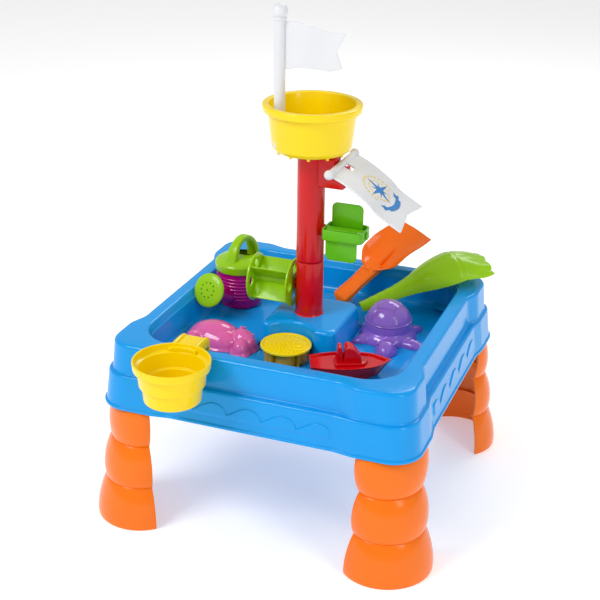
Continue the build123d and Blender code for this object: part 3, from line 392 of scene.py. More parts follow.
def plastic(name, code, rough=0.22, coat=0.35, clear=0.0, glow=0.0, grain=0.02, bump=0.06, scale=55.0):
    """Moulded plastic: faint flow marks in colour and gloss, and a soft orange-peel surface."""
    mat = bpy.data.materials.new(name)
    mat.use_nodes = True
    tree = mat.node_tree
    shader = tree.nodes["Principled BSDF"]
    base = linear(code)
    coord = tree.nodes.new("ShaderNodeTexCoord")
    flow = tree.nodes.new("ShaderNodeTexNoise")
    flow.inputs["Scale"].default_value = scale * 0.45
    flow.inputs["Detail"].default_value = 3.0
    tree.links.new(coord.outputs["Object"], flow.inputs["Vector"])
    tint = tree.nodes.new("ShaderNodeMix")
    tint.data_type = "RGBA"
    tint.inputs["A"].default_value = [c * (1.0 - 2.2 * grain) for c in base[:3]] + [1.0]
    tint.inputs["B"].default_value = [min(1.0, c * (1.0 + 2.2 * grain)) for c in base[:3]] + [1.0]
    tree.links.new(flow.outputs["Fac"], tint.inputs["Factor"])
    tree.links.new(tint.outputs["Result"], shader.inputs["Base Color"])
    gloss = tree.nodes.new("ShaderNodeMapRange")
    gloss.inputs["From Min"].default_value = 0.3
    gloss.inputs["From Max"].default_value = 0.7
    gloss.inputs["To Min"].default_value = rough * 0.85
    gloss.inputs["To Max"].default_value = rough * 1.25
    tree.links.new(flow.outputs["Fac"], gloss.inputs["Value"])
    tree.links.new(gloss.outputs["Result"], shader.inputs["Roughness"])
    peel = tree.nodes.new("ShaderNodeTexNoise")
    peel.inputs["Scale"].default_value = scale * 2.4
    peel.inputs["Detail"].default_value = 2.0
    tree.links.new(coord.outputs["Object"], peel.inputs["Vector"])
    relief = tree.nodes.new("ShaderNodeBump")
    relief.inputs["Strength"].default_value = bump
    relief.inputs["Distance"].default_value = 0.001
    tree.links.new(peel.outputs["Fac"], relief.inputs["Height"])
    tree.links.new(relief.outputs["Normal"], shader.inputs["Normal"])
    shader.inputs["IOR"].default_value = 1.48
    shader.inputs["Specular IOR Level"].default_value = 0.24
    shader.inputs["Coat Weight"].default_value = coat
    shader.inputs["Coat Roughness"].default_value = 0.08
    shader.inputs["Transmission Weight"].default_value = clear
    if glow > 0:
        shader.inputs["Subsurface Weight"].default_value = glow
        shader.inputs["Subsurface Radius"].default_value = [1.0, 0.8, 0.8]
        shader.inputs["Subsurface Scale"].default_value = 0.012
    return mat


blue = plastic("blue_plastic", "0098E6", rough=0.16, coat=0.16)
orange = plastic("orange_plastic", "F57400", rough=0.2, coat=0.25)
red = plastic("red_plastic", "D2040C", rough=0.18, coat=0.3)
lime = plastic("lime_plastic", "96CC08", rough=0.24, coat=0.2, glow=0.05)
green = plastic("green_plastic", "62BC0C", rough=0.24, coat=0.2, glow=0.05)
yellow = plastic("yellow_plastic", "F8D800", rough=0.2, coat=0.3)
white = plastic("white_plastic", "DCDEE2", rough=0.3, coat=0.25, glow=0.05, grain=0.01)
magenta = plastic("magenta_plastic", "C00084", rough=0.22, coat=0.25)
pink = plastic("pink_clear_plastic", "F06CB4", rough=0.12, coat=0.5, clear=0.2, glow=0.3)
purple = plastic("purple_clear_plastic", "A676E0", rough=0.1, coat=0.5, clear=0.35, glow=0.3)
amber = plastic("amber_clear_plastic", "E0A818", rough=0.15, coat=0.5, clear=0.35, glow=0.2)
boat_red = plastic("boat_plastic", "CE0410", rough=0.2, coat=0.3)
spade_orange = plastic("spade_plastic", "F87000", rough=0.22, coat=0.25)
print_blue = plastic("print_blue", "1E78BE", rough=0.35, coat=0.1, grain=0.06)
print_yellow = plastic("print_yellow", "E8CC60", rough=0.35, coat=0.1, grain=0.06)


def dress(obj, material, body, nodes):
    """Give a piece its material and its CAD body, and hide the nodes it stands for."""
    obj.data.materials.clear()
    obj.data.materials.append(material)
    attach(obj, body)
    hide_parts(*nodes)
    return obj


# ---------------------------------------------------------------- tub
SKIRT_Z = low("tub")[2]
RIM_Z = high("tub")[2]
LEDGE_Z = 205.0
FLOOR_Z = 200.0
LOWER = (199.0, 202.8, 55.0)
UPPER = (186.2, 194.6, 42.0)
LOWER_TAPER = math.tan(math.radians(5.6))
UPPER_TAPER = math.tan(math.radians(5.4))
BASIN_HALF = 165.0
BASIN_R = 45.0
BASIN_TAPER = math.tan(math.radians(9.0))
TUB_WALL = 2.8
SWELL = (105.0, 128.0)


def tier_outline(tier, inset, swell_r=30.0):
    """Square with four corner bastions, drawn in by an inset."""
    side, corner, corner_r = tier[0] - inset, tier[1] - inset, max(tier[2] - inset, 5.0)
    quarter = [(side, SWELL[0]), (corner, SWELL[1]), (corner, corner), (SWELL[1], corner), (SWELL[0], side)]
    points = []
    for k in range(4):
        c, s = round(math.cos(k * math.pi / 2)), round(math.sin(k * math.pi / 2))
        points += [(x * c - y * s, x * s + y * c) for x, y in quarter]
    return rounded(points, [swell_r, swell_r, corner_r, swell_r, swell_r] * 4, True, 14)


def round_square(half, r, steps=14):
    return rounded([(half, -half), (half, half), (-half, half), (-half, -half)], r, True, steps)


def tub_shell():
    """One moulded skin: skirt, ledge, upper tier, rolled rim, basin wall and floor."""
    around = densify(tier_outline(LOWER, 0), 2.2)
    angles = np.sort(np.mod(np.arctan2(around[:, 1], around[:, 0]), 2 * math.pi))
    rings = []
    lower = [(0.4, SKIRT_Z), (-1.7, SKIRT_Z), (-1.7, SKIRT_Z + 3.2), (0.35, SKIRT_Z + 4.4)]
    top_inset = LOWER_TAPER * (LEDGE_Z - SKIRT_Z)
    lower += [(top_inset, LEDGE_Z), (top_inset + 6, LEDGE_Z)]
    for inset, z in rounded(lower, [0, 0.9, 0.9, 0.8, 3.4, 0], steps=6)[:-1]:
        rings.append(ring_at(polar(tier_outline(LOWER, inset), angles), angles, z))
    rim_inset = UPPER_TAPER * (RIM_Z - LEDGE_Z)
    upper = [(-6, LEDGE_Z), (0, LEDGE_Z), (rim_inset - 0.6, RIM_Z), (rim_inset + 10, RIM_Z)]
    for inset, z in rounded(upper, [0, 2.4, 4.6, 0], steps=8)[1:-1]:
        rings.append(ring_at(polar(tier_outline(UPPER, inset), angles), angles, z))
    depth = RIM_Z - FLOOR_Z
    basin = [
        (-8, RIM_Z), (0, RIM_Z), (4.0, RIM_Z - 9.0), (5.4, RIM_Z - 10.2),
        (BASIN_TAPER * depth + 1, FLOOR_Z), (40, FLOOR_Z)
    ]
    for inset, z in rounded(basin, [0, 4.2, 1.0, 1.4, 9.0, 0], steps=7)[1:]:
        rings.append(
            ring_at(polar(round_square(BASIN_HALF - inset, BASIN_R - min(inset, 30)), angles), angles, z)
        )
    last = rings[-1]
    for scale in (0.6, 0.25):
        ring = last.copy()
        ring[:, :2] *= scale
        rings.append(ring)
    shell = skin("tub_shell", rings, True, False, True, sharp=60)
    thicken(shell, TUB_WALL)
    return shell


WAVE_LOW, WAVE_HIGH = 179.5, 192.0
WAVE_PITCH, WAVE_START = 44.3, -75.0
WAVE_CREST = 0.64  # part of the pitch from a cusp to the next crest


def wave_relief(name, half_width, side_index):
    """Raised breaking waves on one lower panel, sunk into the wall at their lower edge."""
    columns = int(half_width * 2 / 0.7)
    across = np.linspace(-half_width, half_width, columns)
    levels = np.linspace(WAVE_LOW - 10, WAVE_HIGH + 3, 60)
    rings = []
    for z in levels:
        u = np.mod(across - WAVE_START, WAVE_PITCH) / WAVE_PITCH
        climb = np.sin(np.clip(u / WAVE_CREST, 0, 1) * math.pi / 2) ** 1.4
        drop = np.clip(1 - ((u - WAVE_CREST) / (1 - WAVE_CREST)) ** 2, 0, 1) ** 0.5
        crest = WAVE_LOW + (WAVE_HIGH - WAVE_LOW) * np.where(u < WAVE_CREST, climb, drop)
        inside = smoothstep(-0.9, 0.9, crest - z)
        band = smoothstep(0.0, 8.0, z - WAVE_LOW + 9.0)
        live = smoothstep(0.0, 5.0, half_width - 1.0 - np.abs(across))
        rise = -0.9 + 2.4 * inside * band * live
        out = LOWER[0] - LOWER_TAPER * (z - SKIRT_Z) + rise
        rings.append(np.stack([across, -out, np.full_like(across, z)], axis=1))
    rings = np.array(rings)
    c, s = math.cos(side_index * math.pi / 2), math.sin(side_index * math.pi / 2)
    x = rings[..., 0] * c - rings[..., 1] * s
    y = rings[..., 0] * s + rings[..., 1] * c
    rings[..., 0], rings[..., 1] = x, y
    return skin(name, rings, False, sharp=70)


dress(tub_shell(), blue, "table", ["tub"])
for number, label in enumerate(("front", "right", "back", "left")):
    waves = wave_relief("tub_waves_" + label, 104.0, number)
    dress(waves, blue, "table", ["tub"])

# ---------------------------------------------------------------- legs
LEG_XY = 165.0
# (height, half width, depth) at the foot, the two necks and the top
LEG_NECKS = [(0.0, 57.0, 55.0), (54.0, 45.2, 42.5), (110.0, 39.6, 33.0), (160.2, 44.5, 28.5)]
# how far each bulge stands past the line between two necks
LEG_BULGES = [(4.2, 4.0), (6.6, 6.0), (5.2, 4.6)]
LEG_PROFILE = [
    (0.0, 57.5, 55.5), (18.0, 57.0, 55.0), (36.0, 52.8, 51.5), (54.0, 45.5, 42.8), (74.0, 48.8, 43.4),
    (94.0, 46.0, 40.0), (110.0, 40.2, 33.4), (130.0, 45.4, 34.8), (146.0, 46.6, 33.0), (160.2, 45.5, 28.5),
]
LEG_WALL = 2.6
LEG_TOP = 160.2
RIDGE = 5.0  # how far a ridge reaches in from the outer face
PIN_R, PIN_FOOT, PIN_TOP = 22.0, 158.0, 184.0


def leg(name, compass):
    """Half-oval moulded leg with rounded bulges, crisp necks, low inner ridges and a spigot."""
    out = np.array([math.cos(math.radians(compass)), math.sin(math.radians(compass)), 0])
    at = frame_matrix(out * LEG_XY * math.sqrt(2), (0, 0, 1), np.cross(out, (0, 0, 1)))
    sections = []
    for (z0, w0, d0), (z1, w1, d1), (more_w, more_d) in zip(LEG_NECKS, LEG_NECKS[1:], LEG_BULGES):
        for t in 0.5 - 0.5 * np.cos(np.linspace(0, math.pi, 26))[: 26 if z1 == LEG_TOP else 25]:
            swell = math.sin(math.pi * t) ** 0.62
            sections.append(
                (
                    z0 + (z1 - z0) * t, w0 + (w1 - w0) * t + more_w * swell,
                    d0 + (d1 - d0) * t + more_d * swell
                )
            )
    turn = np.linspace(0, math.pi, 61)
    rings = [
        place(
            np.stack([w * np.cos(turn), d * np.sin(turn), np.full(61, max(z, 0))], axis=1), at
        ) for z, w, d in sections
    ]
    shell = skin(name + "_shell", rings, False, sharp=70)
    thicken(shell, LEG_WALL)
    parts = [shell]
    half = np.linspace(0, math.pi, 41)
    profile = np.array(LEG_PROFILE)
    for level, thick, deep in (
        (LEG_TOP - LEG_WALL, LEG_WALL, 60.0), (109.0, 2.0, RIDGE), (53.0, 2.0, RIDGE)
    ):
        w = np.interp(level, profile[:, 0], profile[:, 1]) - 1.2
        d = np.interp(level, profile[:, 0], profile[:, 2]) - 1.2
        outer = np.stack([w * np.cos(half), d * np.sin(half)], axis=1)
        if deep < d:
            inner = np.stack([(w - deep) * np.cos(half), (d - deep) * np.sin(half)], axis=1)
            outer = np.concatenate([outer, inner[::-1]])
        parts.append(prism(name + "_ridge", outer, level, level + thick, at, 0.4))
    axes = at[1]
    seam = [(d - 1.4, z) for z, w, d in LEG_PROFILE] + [(d - RIDGE, z) for z, w, d in LEG_PROFILE[::-1]]
    seam_axes = np.stack([axes[:, 1], axes[:, 2], np.cross(axes[:, 1], axes[:, 2])], axis=1)
    parts.append(prism(name + "_seam", seam, -1.1, 1.1, (at[0], seam_axes), 0.3))
    pin = np.stack([PIN_R * np.cos(half), PIN_R * np.sin(half)], axis=1)
    parts.append(prism(name + "_spigot", pin, PIN_FOOT, PIN_TOP, at, 1.0))
    return join(name, parts)


for node, compass in (
    ("leg_front_right", 315), ("leg_front_left", 225), ("leg_back_right", 45), ("leg_back_left", 135)
):
    dress(leg(node + "_look", compass), orange, "table", [node])

# ---------------------------------------------------------------- centre island and tower
ISLAND_TOP = high("center_island")[2]
COVE = (-4.0, -71.0, 36.0)


def island():
    """Block with softly rounded edges and a round cove for the sieve."""
    centre = (3.5, 6.0)
    angles = np.linspace(0, 2 * math.pi, 420, endpoint=False)
    rings = []
    rise = ISLAND_TOP - FLOOR_Z
    slope = math.tan(math.radians(5.0))
    profile = rounded(
        [(-slope * rise - 5, FLOOR_Z), (-slope * rise, FLOOR_Z), (0, ISLAND_TOP), (12, ISLAND_TOP)],
        [0, 4, 6, 0], steps=8
    )
    for inset, z in profile:
        box = [
            (52 - inset, -52 + inset), (52 - inset, 52 - inset), (-45 + inset, 52 - inset),
            (-45 + inset, -52 + inset)
        ]
        cove_r = COVE[2] + min(max(inset, -4), 12) * 0.9
        gap = -52 + inset - COVE[1]
        reach = math.sqrt(max(cove_r**2 - gap**2, 1.0))
        arc = []
        a0 = math.atan2(gap, -reach)
        a1 = math.atan2(gap, reach)
        for t in np.linspace(a0, a1, 21):
            arc.append((COVE[0] + cove_r * math.cos(t), COVE[1] + cove_r * math.sin(t)))
        points = [box[0], box[1], box[2], box[3]] + arc
        radii = [10, 13, 13, 6] + [5] + [0] * 19 + [5]
        rings.append(ring_at(polar(rounded(points, radii, True, 8), angles, centre), angles, z, centre))
    return skin("island_block", rings, True, False, True, sharp=60)


dress(island(), blue, "table", ["center_island"])

SEAM_Z = 309.6
TUBE_R = 17.5
TOWER_TOP = 452.0
floor_at = (np.zeros(3), UPRIGHT)
DRUM_Z = middle("drum_outer_disc")[2]
WHEEL_Z = middle("paddle_axle")[2]


def boss(name, x_from, x_to, z, radius=7.5):
    """Short turned boss along X with a soft outer edge."""
    way = 1 if x_to > x_from else -1
    at = frame_matrix((x_from, 0, z), (way, 0, 0), (0, 1, 0))
    length = abs(x_to - x_from)
    profile = rounded(
        [(radius + 2, 0), (radius, 1.5), (radius, length), (3.2, length), (3.2, length - 4)],
        [0, 1.2, 0.9, 0.4, 0], steps=4
    )
    return lathe(name, profile, at, 40)


lower_profile = rounded(
    [
        (13, ISLAND_TOP - 4), (TUBE_R + 1.6, ISLAND_TOP - 0.5), (TUBE_R + 0.2, ISLAND_TOP + 2.4),
        (TUBE_R, SEAM_Z - 0.3), (14.8, SEAM_Z - 0.3)
    ],
    [0, 1.0, 1.2, 0.9, 0], steps=5,
)
lower_tube = lathe("tower_lower_tube", lower_profile, floor_at, 96)
lower_boss = boss("tower_lower_boss", -15.5, low("tower_lower")[0], DRUM_Z)
dress(join("tower_lower_look", [lower_tube, lower_boss]), red, "table", ["tower_lower"])

ARM_END = high("tower_upper")[0]
ARM_HALF = 12.0


def tower_upper():
    """Upper tube with its plug, the seat arm for the sail and the paddle boss."""
    profile = rounded(
        [
            (14.8, SEAM_Z + 0.5), (TUBE_R - 0.1, SEAM_Z + 0.5), (TUBE_R, SEAM_Z + 3), (TUBE_R, TOWER_TOP),
            (13, TOWER_TOP), (13, 464), (0.05, 464)
        ],
        [0, 1.0, 0.4, 1.4, 0.6, 2.0, 0], steps=5,
    )
    tube_part = lathe("tower_upper_tube", profile, floor_at, 96)
    arm_outline = [
        (12, 411), (45, 411), (ARM_END, 417.5), (ARM_END - 1, 428), (45, 433), (40, 435.5), (34.4, 437.5),
        (34.4, 448), (12, 448)
    ]
    arm_shape = rounded(arm_outline, [0, 4, 3, 3, 2, 2, 2, 3.2, 0], True, 5)
    arm_at = (np.array([0, ARM_HALF, 0]), FACING)
    arm = prism("tower_arm", arm_shape, 0, 2 * ARM_HALF, arm_at, 1.6)
    peg_shape = rounded([(45.4, -4.5), (49.4, -4.5), (49.4, 4.5), (45.4, 4.5)], 1.4, True, 4)
    peg = prism("tower_peg", peg_shape, 431, 438.6, floor_at, 0.8)
    hub = boss("tower_upper_boss", 15.5, TUBE_R + 1.6, WHEEL_Z)
    return join("tower_upper_look", [tube_part, arm, peg, hub])


dress(tower_upper(), red, "table", ["tower_upper"])

# ---------------------------------------------------------------- drum wheel
DRUM_R = (high("drum_outer_disc")[2] - low("drum_outer_disc")[2]) / 2
DISC_T = high("drum_outer_disc")[0] - low("drum_outer_disc")[0]


def drum_disc(node):
    """End disc with a rolled edge, four windows and a centre hole."""
    x = middle(node)[0]
    at = frame_matrix((x, 0, DRUM_Z), (1, 0, 0), (0, 1, 0))
    turn = np.linspace(0, 2 * math.pi, 96, endpoint=False)
    rim = np.stack([DRUM_R * np.cos(turn), DRUM_R * np.sin(turn)], axis=1)
    windows = [
        (18.6 * math.cos(a), 18.6 * math.sin(a), 6.4) for a in (0, math.pi / 2, math.pi, 1.5 * math.pi)
    ]
    disc = prism(node + "_plate", rim, -DISC_T / 2, DISC_T / 2, at, 0.7, windows + [(0, 0, 3.1)])
    return disc


for node in ("drum_outer_disc", "drum_inner_disc"):
    dress(drum_disc(node), lime, "drum", [node])


def drum_paddles():
    """Four thin paddles with softened edges on a turned hub."""
    x0, x1 = low("drum_paddles")[0], high("drum_paddles")[0]
    parts = []
    for k in range(4):
        a = math.radians(45 + 90 * k)
        at = (
            np.array([x0, 0, DRUM_Z]),
            np.stack([(0, math.cos(a), math.sin(a)), (0, -math.sin(a), math.cos(a)), (1, 0, 0)], axis=1)
        )
        blade = [(4.5, -1.3), (29.5, -0.85), (30.0, 0), (29.5, 0.85), (4.5, 1.3)]
        parts.append(
            prism("drum_blade", rounded(blade, [0, 0.5, 0.4, 0.5, 0], True, 3), 0, x1 - x0, at, 0.15)
        )
    at = frame_matrix((x0, 0, DRUM_Z), (1, 0, 0), (0, 1, 0))
    length = x1 - x0
    profile = rounded(
        [(3.2, 0), (7.0, 0), (6.0, 4), (6.0, length - 4), (7.0, length), (3.2, length)],
        [0, 0.4, 1, 1, 0.4, 0], steps=3
    )
    parts.append(lathe("drum_hub", profile, at, 40))
    return join("drum_paddles_look", parts)


dress(drum_paddles(), lime, "drum", ["drum_paddles"])


def axle(name, node, outward):
    """Pin with a domed, slotted-looking head at its outer end."""
    lo, hi = low(node), high(node)
    start = hi[0] if outward < 0 else lo[0]
    length = hi[0] - lo[0]
    at = frame_matrix((start, 0, middle(node)[2]), (outward, 0, 0), (0, 1, 0))
    profile = [
        (0.05, 0), (2.9, 0), (2.9, length - 2.4), (5.0, length - 2.4), (5.0, length - 1.0),
        (3.6, length - 0.1), (1.6, length), (1.4, length - 0.9), (0.05, length - 0.9)
    ]
    return lathe(name, rounded(profile, [0, 0.4, 0, 0.3, 0.8, 0.8, 0.3, 0.2, 0], steps=4), at, 40)


dress(axle("drum_axle_look", "drum_axle", -1), lime, "table", ["drum_axle"])
dress(axle("paddle_axle_look", "paddle_axle", 1), green, "table", ["paddle_axle"])


# ---------------------------------------------------------------- paddle wheel
WHEEL_RIB = 1.6


def paddle_wheel():
    """Two rounded blades, one up and one down, in a chamfered band with a hub and stays."""
    x0, x1 = low("paddle_wheel")[0], high("paddle_wheel")[0]
    half_y = high("paddle_wheel")[1]
    tip = high("paddle_wheel")[2] - WHEEL_Z
    mid_x = (x0 + x1) / 2
    ring_at_z = (np.array([mid_x, 0, WHEEL_Z - 7.0]), UPRIGHT)
    half_x = (x1 - x0) / 2
    outer = rounded(
        [(half_x, -half_y), (half_x, half_y), (-half_x, half_y), (-half_x, -half_y)], 7.0, True, 8
    )
    inner = rounded(
        [
            (half_x - 2.4, -half_y + 2.4), (half_x - 2.4, half_y - 2.4), (-half_x + 2.4, half_y - 2.4),
            (-half_x + 2.4, -half_y + 2.4)
        ],
        4.8, True, 8
    )
    band = prism("wheel_band", outer, 0, 14.0, ring_at_z, 0)
    hole = prism("wheel_band_hole", inner, -2, 16, ring_at_z, 0)
    cut(band, hole)
    soften(band, 1.1, 30, 3)
    parts = [band]
    for side in (1, -1):
        blade_x = (24.5, 65.5)
        base = WHEEL_Z - side * 7.0
        end = WHEEL_Z + side * tip
        zs = sorted((base, end))
        corner = [7.0 if (z == end) else 2.0 for z in (zs[0], zs[0], zs[1], zs[1])]
        shape = rounded(
            [(blade_x[0], zs[0]), (blade_x[1], zs[0]), (blade_x[1], zs[1]), (blade_x[0], zs[1])], corner,
            True, 7
        )
        at = (np.array([0, side * 11.5 + 1.1, 0]), FACING)
        parts.append(prism("wheel_blade", shape, 0, 2.2, at, 0.8))
        for rib_x in (31.0, 45.0, 59.0):
            left, right = rib_x - WHEEL_RIB / 2, rib_x + WHEEL_RIB / 2
            foot, top = WHEEL_Z - 5, WHEEL_Z + 5
            rib = rounded([(left, foot), (right, foot), (right, top), (left, top)], 0.4, True, 2)
            rib_at = (np.array([0, 16.6 if side > 0 else -11.9, 0]), FACING)
            parts.append(prism("wheel_rib", rib, 0, 4.4, rib_at, 0.2))
    at = frame_matrix((x0 + 0.2, 0, WHEEL_Z), (1, 0, 0), (0, 1, 0))
    length = x1 - x0 - 0.4
    profile = rounded(
        [(3.2, 0), (6.6, 0), (6.0, 4), (6.0, length - 4), (6.6, length), (3.2, length)],
        [0, 0.5, 1, 1, 0.5, 0], steps=3
    )
    parts.append(lathe("wheel_hub", profile, at, 40))
    for stay_x in (27.5, 45.0, 62.5):
        stay = rounded(
            [(-half_y + 1, -1.2), (half_y - 1, -1.2), (half_y - 1, 1.2), (-half_y + 1, 1.2)], 0.5, True, 2
        )
        stay_at = frame_matrix((stay_x - 1.1, 0, WHEEL_Z), (1, 0, 0), (0, 1, 0))
        parts.append(prism("wheel_stay", stay, 0, 2.2, stay_at, 0.2))
    return join("paddle_wheel_look", parts)


dress(paddle_wheel(), green, "paddle", ["paddle_wheel"])

# ---------------------------------------------------------------- top bucket, pole and flag
POLE = middle("flag_pole")[:2]
BASE_Z = 455.0
BUCKET_TOP = high("top_bucket")[2]
BUCKET_R = high("top_bucket")[0]


def bucket():
    """Turned bucket with a deep rim band, a ring of drip spouts and two inner bosses."""
    band = BUCKET_TOP - 9.5
    points = [
        (0.05, BASE_Z), (45.5, BASE_Z), (49.5, BASE_Z + 5), (54.4, band - 0.5), (60.4, band),
        (BUCKET_R, BUCKET_TOP), (52.6, BUCKET_TOP), (47.2, BASE_Z + 6), (43, BASE_Z + 2.4),
        (0.05, BASE_Z + 2.4)
    ]
    profile = rounded(points, [0, 3, 3, 1.6, 1.8, 2.0, 1.6, 3, 2, 0], steps=6)
    parts = [lathe("bucket_wall", profile, floor_at, 144)]
    for k in range(12):
        a = math.radians(15 + 30 * k)
        spot = np.array([44.4 * math.cos(a), 44.4 * math.sin(a), BASE_Z])
        nub = rounded([(2.0, 1), (1.8, -2.2), (1.0, -2.2), (1.0, 1)], [0, 0.6, 0.2, 0], steps=3)
        parts.append(lathe("bucket_spout", nub, (spot, UPRIGHT), 20))
    centre = rounded(
        [(17, BASE_Z + 2), (15.4, BASE_Z + 4), (15.4, 466.7), (0.05, 466.7)], [0, 1.5, 1.6, 0], steps=4
    )
    parts.append(lathe("bucket_boss", centre, floor_at, 48))
    pole_boss = rounded(
        [(7.0, BASE_Z + 24), (7.8, BASE_Z + 26), (7.8, 498), (6.9, 498), (6.9, 470)], [0, 0.5, 0.4, 0.3, 0],
        steps=4
    )
    parts.append(lathe("pole_boss", pole_boss, (np.array([POLE[0], POLE[1], 0]), UPRIGHT), 48))
    return join("top_bucket_look", parts)


dress(bucket(), yellow, "bucket", ["top_bucket"])


def flag_pole():
    """White pole with a collar and a ball."""
    foot = low("flag_pole")[2]
    top = high("flag_pole")[2]
    ball = [
        (9.6 * math.cos(t), top - 9.6 + 9.6 * math.sin(t))
        for t in np.linspace(-0.75, math.pi / 2 - 0.005, 20)
    ]
    head = top - 16.0
    points = rounded(
        [(0.05, foot), (6.8, foot), (6.8, head - 3.4), (8.4, head - 3.0), (8.4, head), (6.6, head + 1.2)],
        [0, 1, 0.5, 0.8, 0.8, 0], steps=4
    )
    return lathe("flag_pole_look", list(points) + ball, (np.array([POLE[0], POLE[1], 0]), UPRIGHT), 64)


dress(flag_pole(), white, "flag", ["flag_pole"])


def flag_banner():
    """Stiff moulded flag with soft waves and a notched free edge."""
    x0 = low("flag_banner")[0]
    tops = np.array([(x0, 614.4), (-6, 615.3), (13, 610.8), (30, 605.9), (51.0, 606.3)])
    foots = np.array([(x0, 557.9), (-4.8, 562.4), (13, 561.7), (30.8, 560.3), (46.7, 565.4)])
    notch_x = 39.0
    rows, cols = 44, 64
    top_line = spline(tops, cols)
    foot_line = spline(foots, cols)
    rings = []
    for i in range(rows):
        v = i / (rows - 1)
        edge = notch_x + (51.0 - notch_x) * max(
            0.0, (v - 0.45) / 0.55
        ) if v > 0.45 else notch_x + (46.7 - notch_x) * (0.45 - v) / 0.45
        ring = []
        for j in range(cols):
            line = foot_line[j] * (1 - v) + top_line[j] * v
            full = foot_line[-1][0] * (1 - v) + top_line[-1][0] * v
            x = x0 + (line[0] - x0) * (edge - x0) / (full - x0)
            u = (x - x0) / (51.0 - x0)
            wave = -2.6 * math.sin(2 * math.pi * u * 1.05 - 0.15 * v) * smoothstep(0, 0.18, u)
            ring.append((x, POLE[1] + float(wave), line[1]))
        rings.append(ring)
    banner = skin("flag_banner_look", rings, False, sharp=70)
    thicken(banner, 1.8, 0.0)
    return soften(banner, 0.5, 50, 2)


dress(flag_banner(), white, "flag", ["flag_banner"])

# ---------------------------------------------------------------- sail
SAIL_PATH = spline([(40.0, 441.2), (63.0, 430.0), (88.0, 413.0), (103.0, 399.0), (131.0, 382.0)], 160)
SAIL_Y = (low("sail")[1] + 6.0, high("sail")[1] - 6.0)
SAIL_LENGTHS = np.concatenate([[0], np.cumsum(np.linalg.norm(np.diff(SAIL_PATH, axis=0), axis=1))])
SAIL_RUN = SAIL_LENGTHS[-1]


def on_sail(run, y, lift=0.0):
    """Point on the sail at a distance down from the rod and a place across it."""
    x = np.interp(run, SAIL_LENGTHS, SAIL_PATH[:, 0])
    z = np.interp(run, SAIL_LENGTHS, SAIL_PATH[:, 1])
    dx = np.interp(run + 1, SAIL_LENGTHS, SAIL_PATH[:, 0]) - np.interp(
        run - 1, SAIL_LENGTHS, SAIL_PATH[:, 0]
    )
    dz = np.interp(run + 1, SAIL_LENGTHS, SAIL_PATH[:, 1]) - np.interp(
        run - 1, SAIL_LENGTHS, SAIL_PATH[:, 1]
    )
    size = np.hypot(dx, dz)
    return np.array([x - dz / size * lift, y, z + dx / size * lift])


def sail_sheet():
    """Curved sheet with a swallow tail and a slot, on a round rod with ball ends."""
    rows, cols = 90, 61
    rings = []
    for i in range(rows):
        ring = []
        for j in range(cols):
            t = j / (cols - 1)
            y = SAIL_Y[0] + (SAIL_Y[1] - SAIL_Y[0]) * t
            tail = 8.0 * (1 - abs(y - 3.0) / 48.0)
            end = SAIL_RUN - max(tail, 0) * 1.0
            run = 0.5 + (end - 0.5) * i / (rows - 1)
            ring.append(on_sail(run, y, -0.3))
        rings.append(ring)
    sheet = skin("sail_sheet", rings, False, sharp=70)
    thicken(sheet, 1.7, 0.0)
    slot_shape = rounded([(43.5, -7), (54.5, -7), (54.5, 7), (43.5, 7)], 2.4, True, 4)
    cut(sheet, prism("slot_cut", slot_shape, 400, 460, floor_at, 0))
    soften(sheet, 0.45, 50, 2)
    rod_at = frame_matrix((40.0, SAIL_Y[0] - 6, 441.2), (0, 1, 0), (1, 0, 0))
    length = SAIL_Y[1] - SAIL_Y[0] + 12
    ball = [(6.0 * math.sin(t), 6.0 - 6.0 * math.cos(t)) for t in np.linspace(0.02, 2.25, 16)]
    profile = ball + [(4.2, 10.2)] + [(4.2, length - 10.2)] + [(r, length - z) for r, z in ball[::-1]]
    rod = lathe("sail_rod", profile, rod_at, 40)
    return join("sail_look", [sheet, rod])


dress(sail_sheet(), white, "sail_body", ["sail"])


def sail_patch(name, outline, lift=0.35):
    """Thin printed shape laid on the sail from (across, down) points around the emblem's centre."""
    points = densify(np.array(outline, float), 1.2)
    data = bpy.data.meshes.new(name)
    bm = bmesh.new()
    verts = [bm.verts.new((p[0], p[1], 0)) for p in points]
    bm.faces.new(verts)
    bmesh.ops.triangulate(bm, faces=bm.faces[:])
    for _ in range(2):
        bmesh.ops.subdivide_edges(
            bm, edges=[e for e in bm.edges if e.calc_length() > 1.6], cuts=1, use_grid_fill=False
        )
        bmesh.ops.triangulate(bm, faces=bm.faces[:])
    for v in bm.verts:
        spot = on_sail(EMBLEM[1] + v.co.y, EMBLEM[0] + v.co.x, lift)
        v.co = Vector([float(c) * MM for c in spot])
    bmesh.ops.recalc_face_normals(bm, faces=bm.faces[:])
    bm.to_mesh(data)
    bm.free()
    data.shade_smooth()
    obj = bpy.data.objects.new(name, data)
    bpy.context.scene.collection.objects.link(obj)
    return obj


EMBLEM = (0.5, 56.0)  # middle of the print: across the sail, and down from the rod


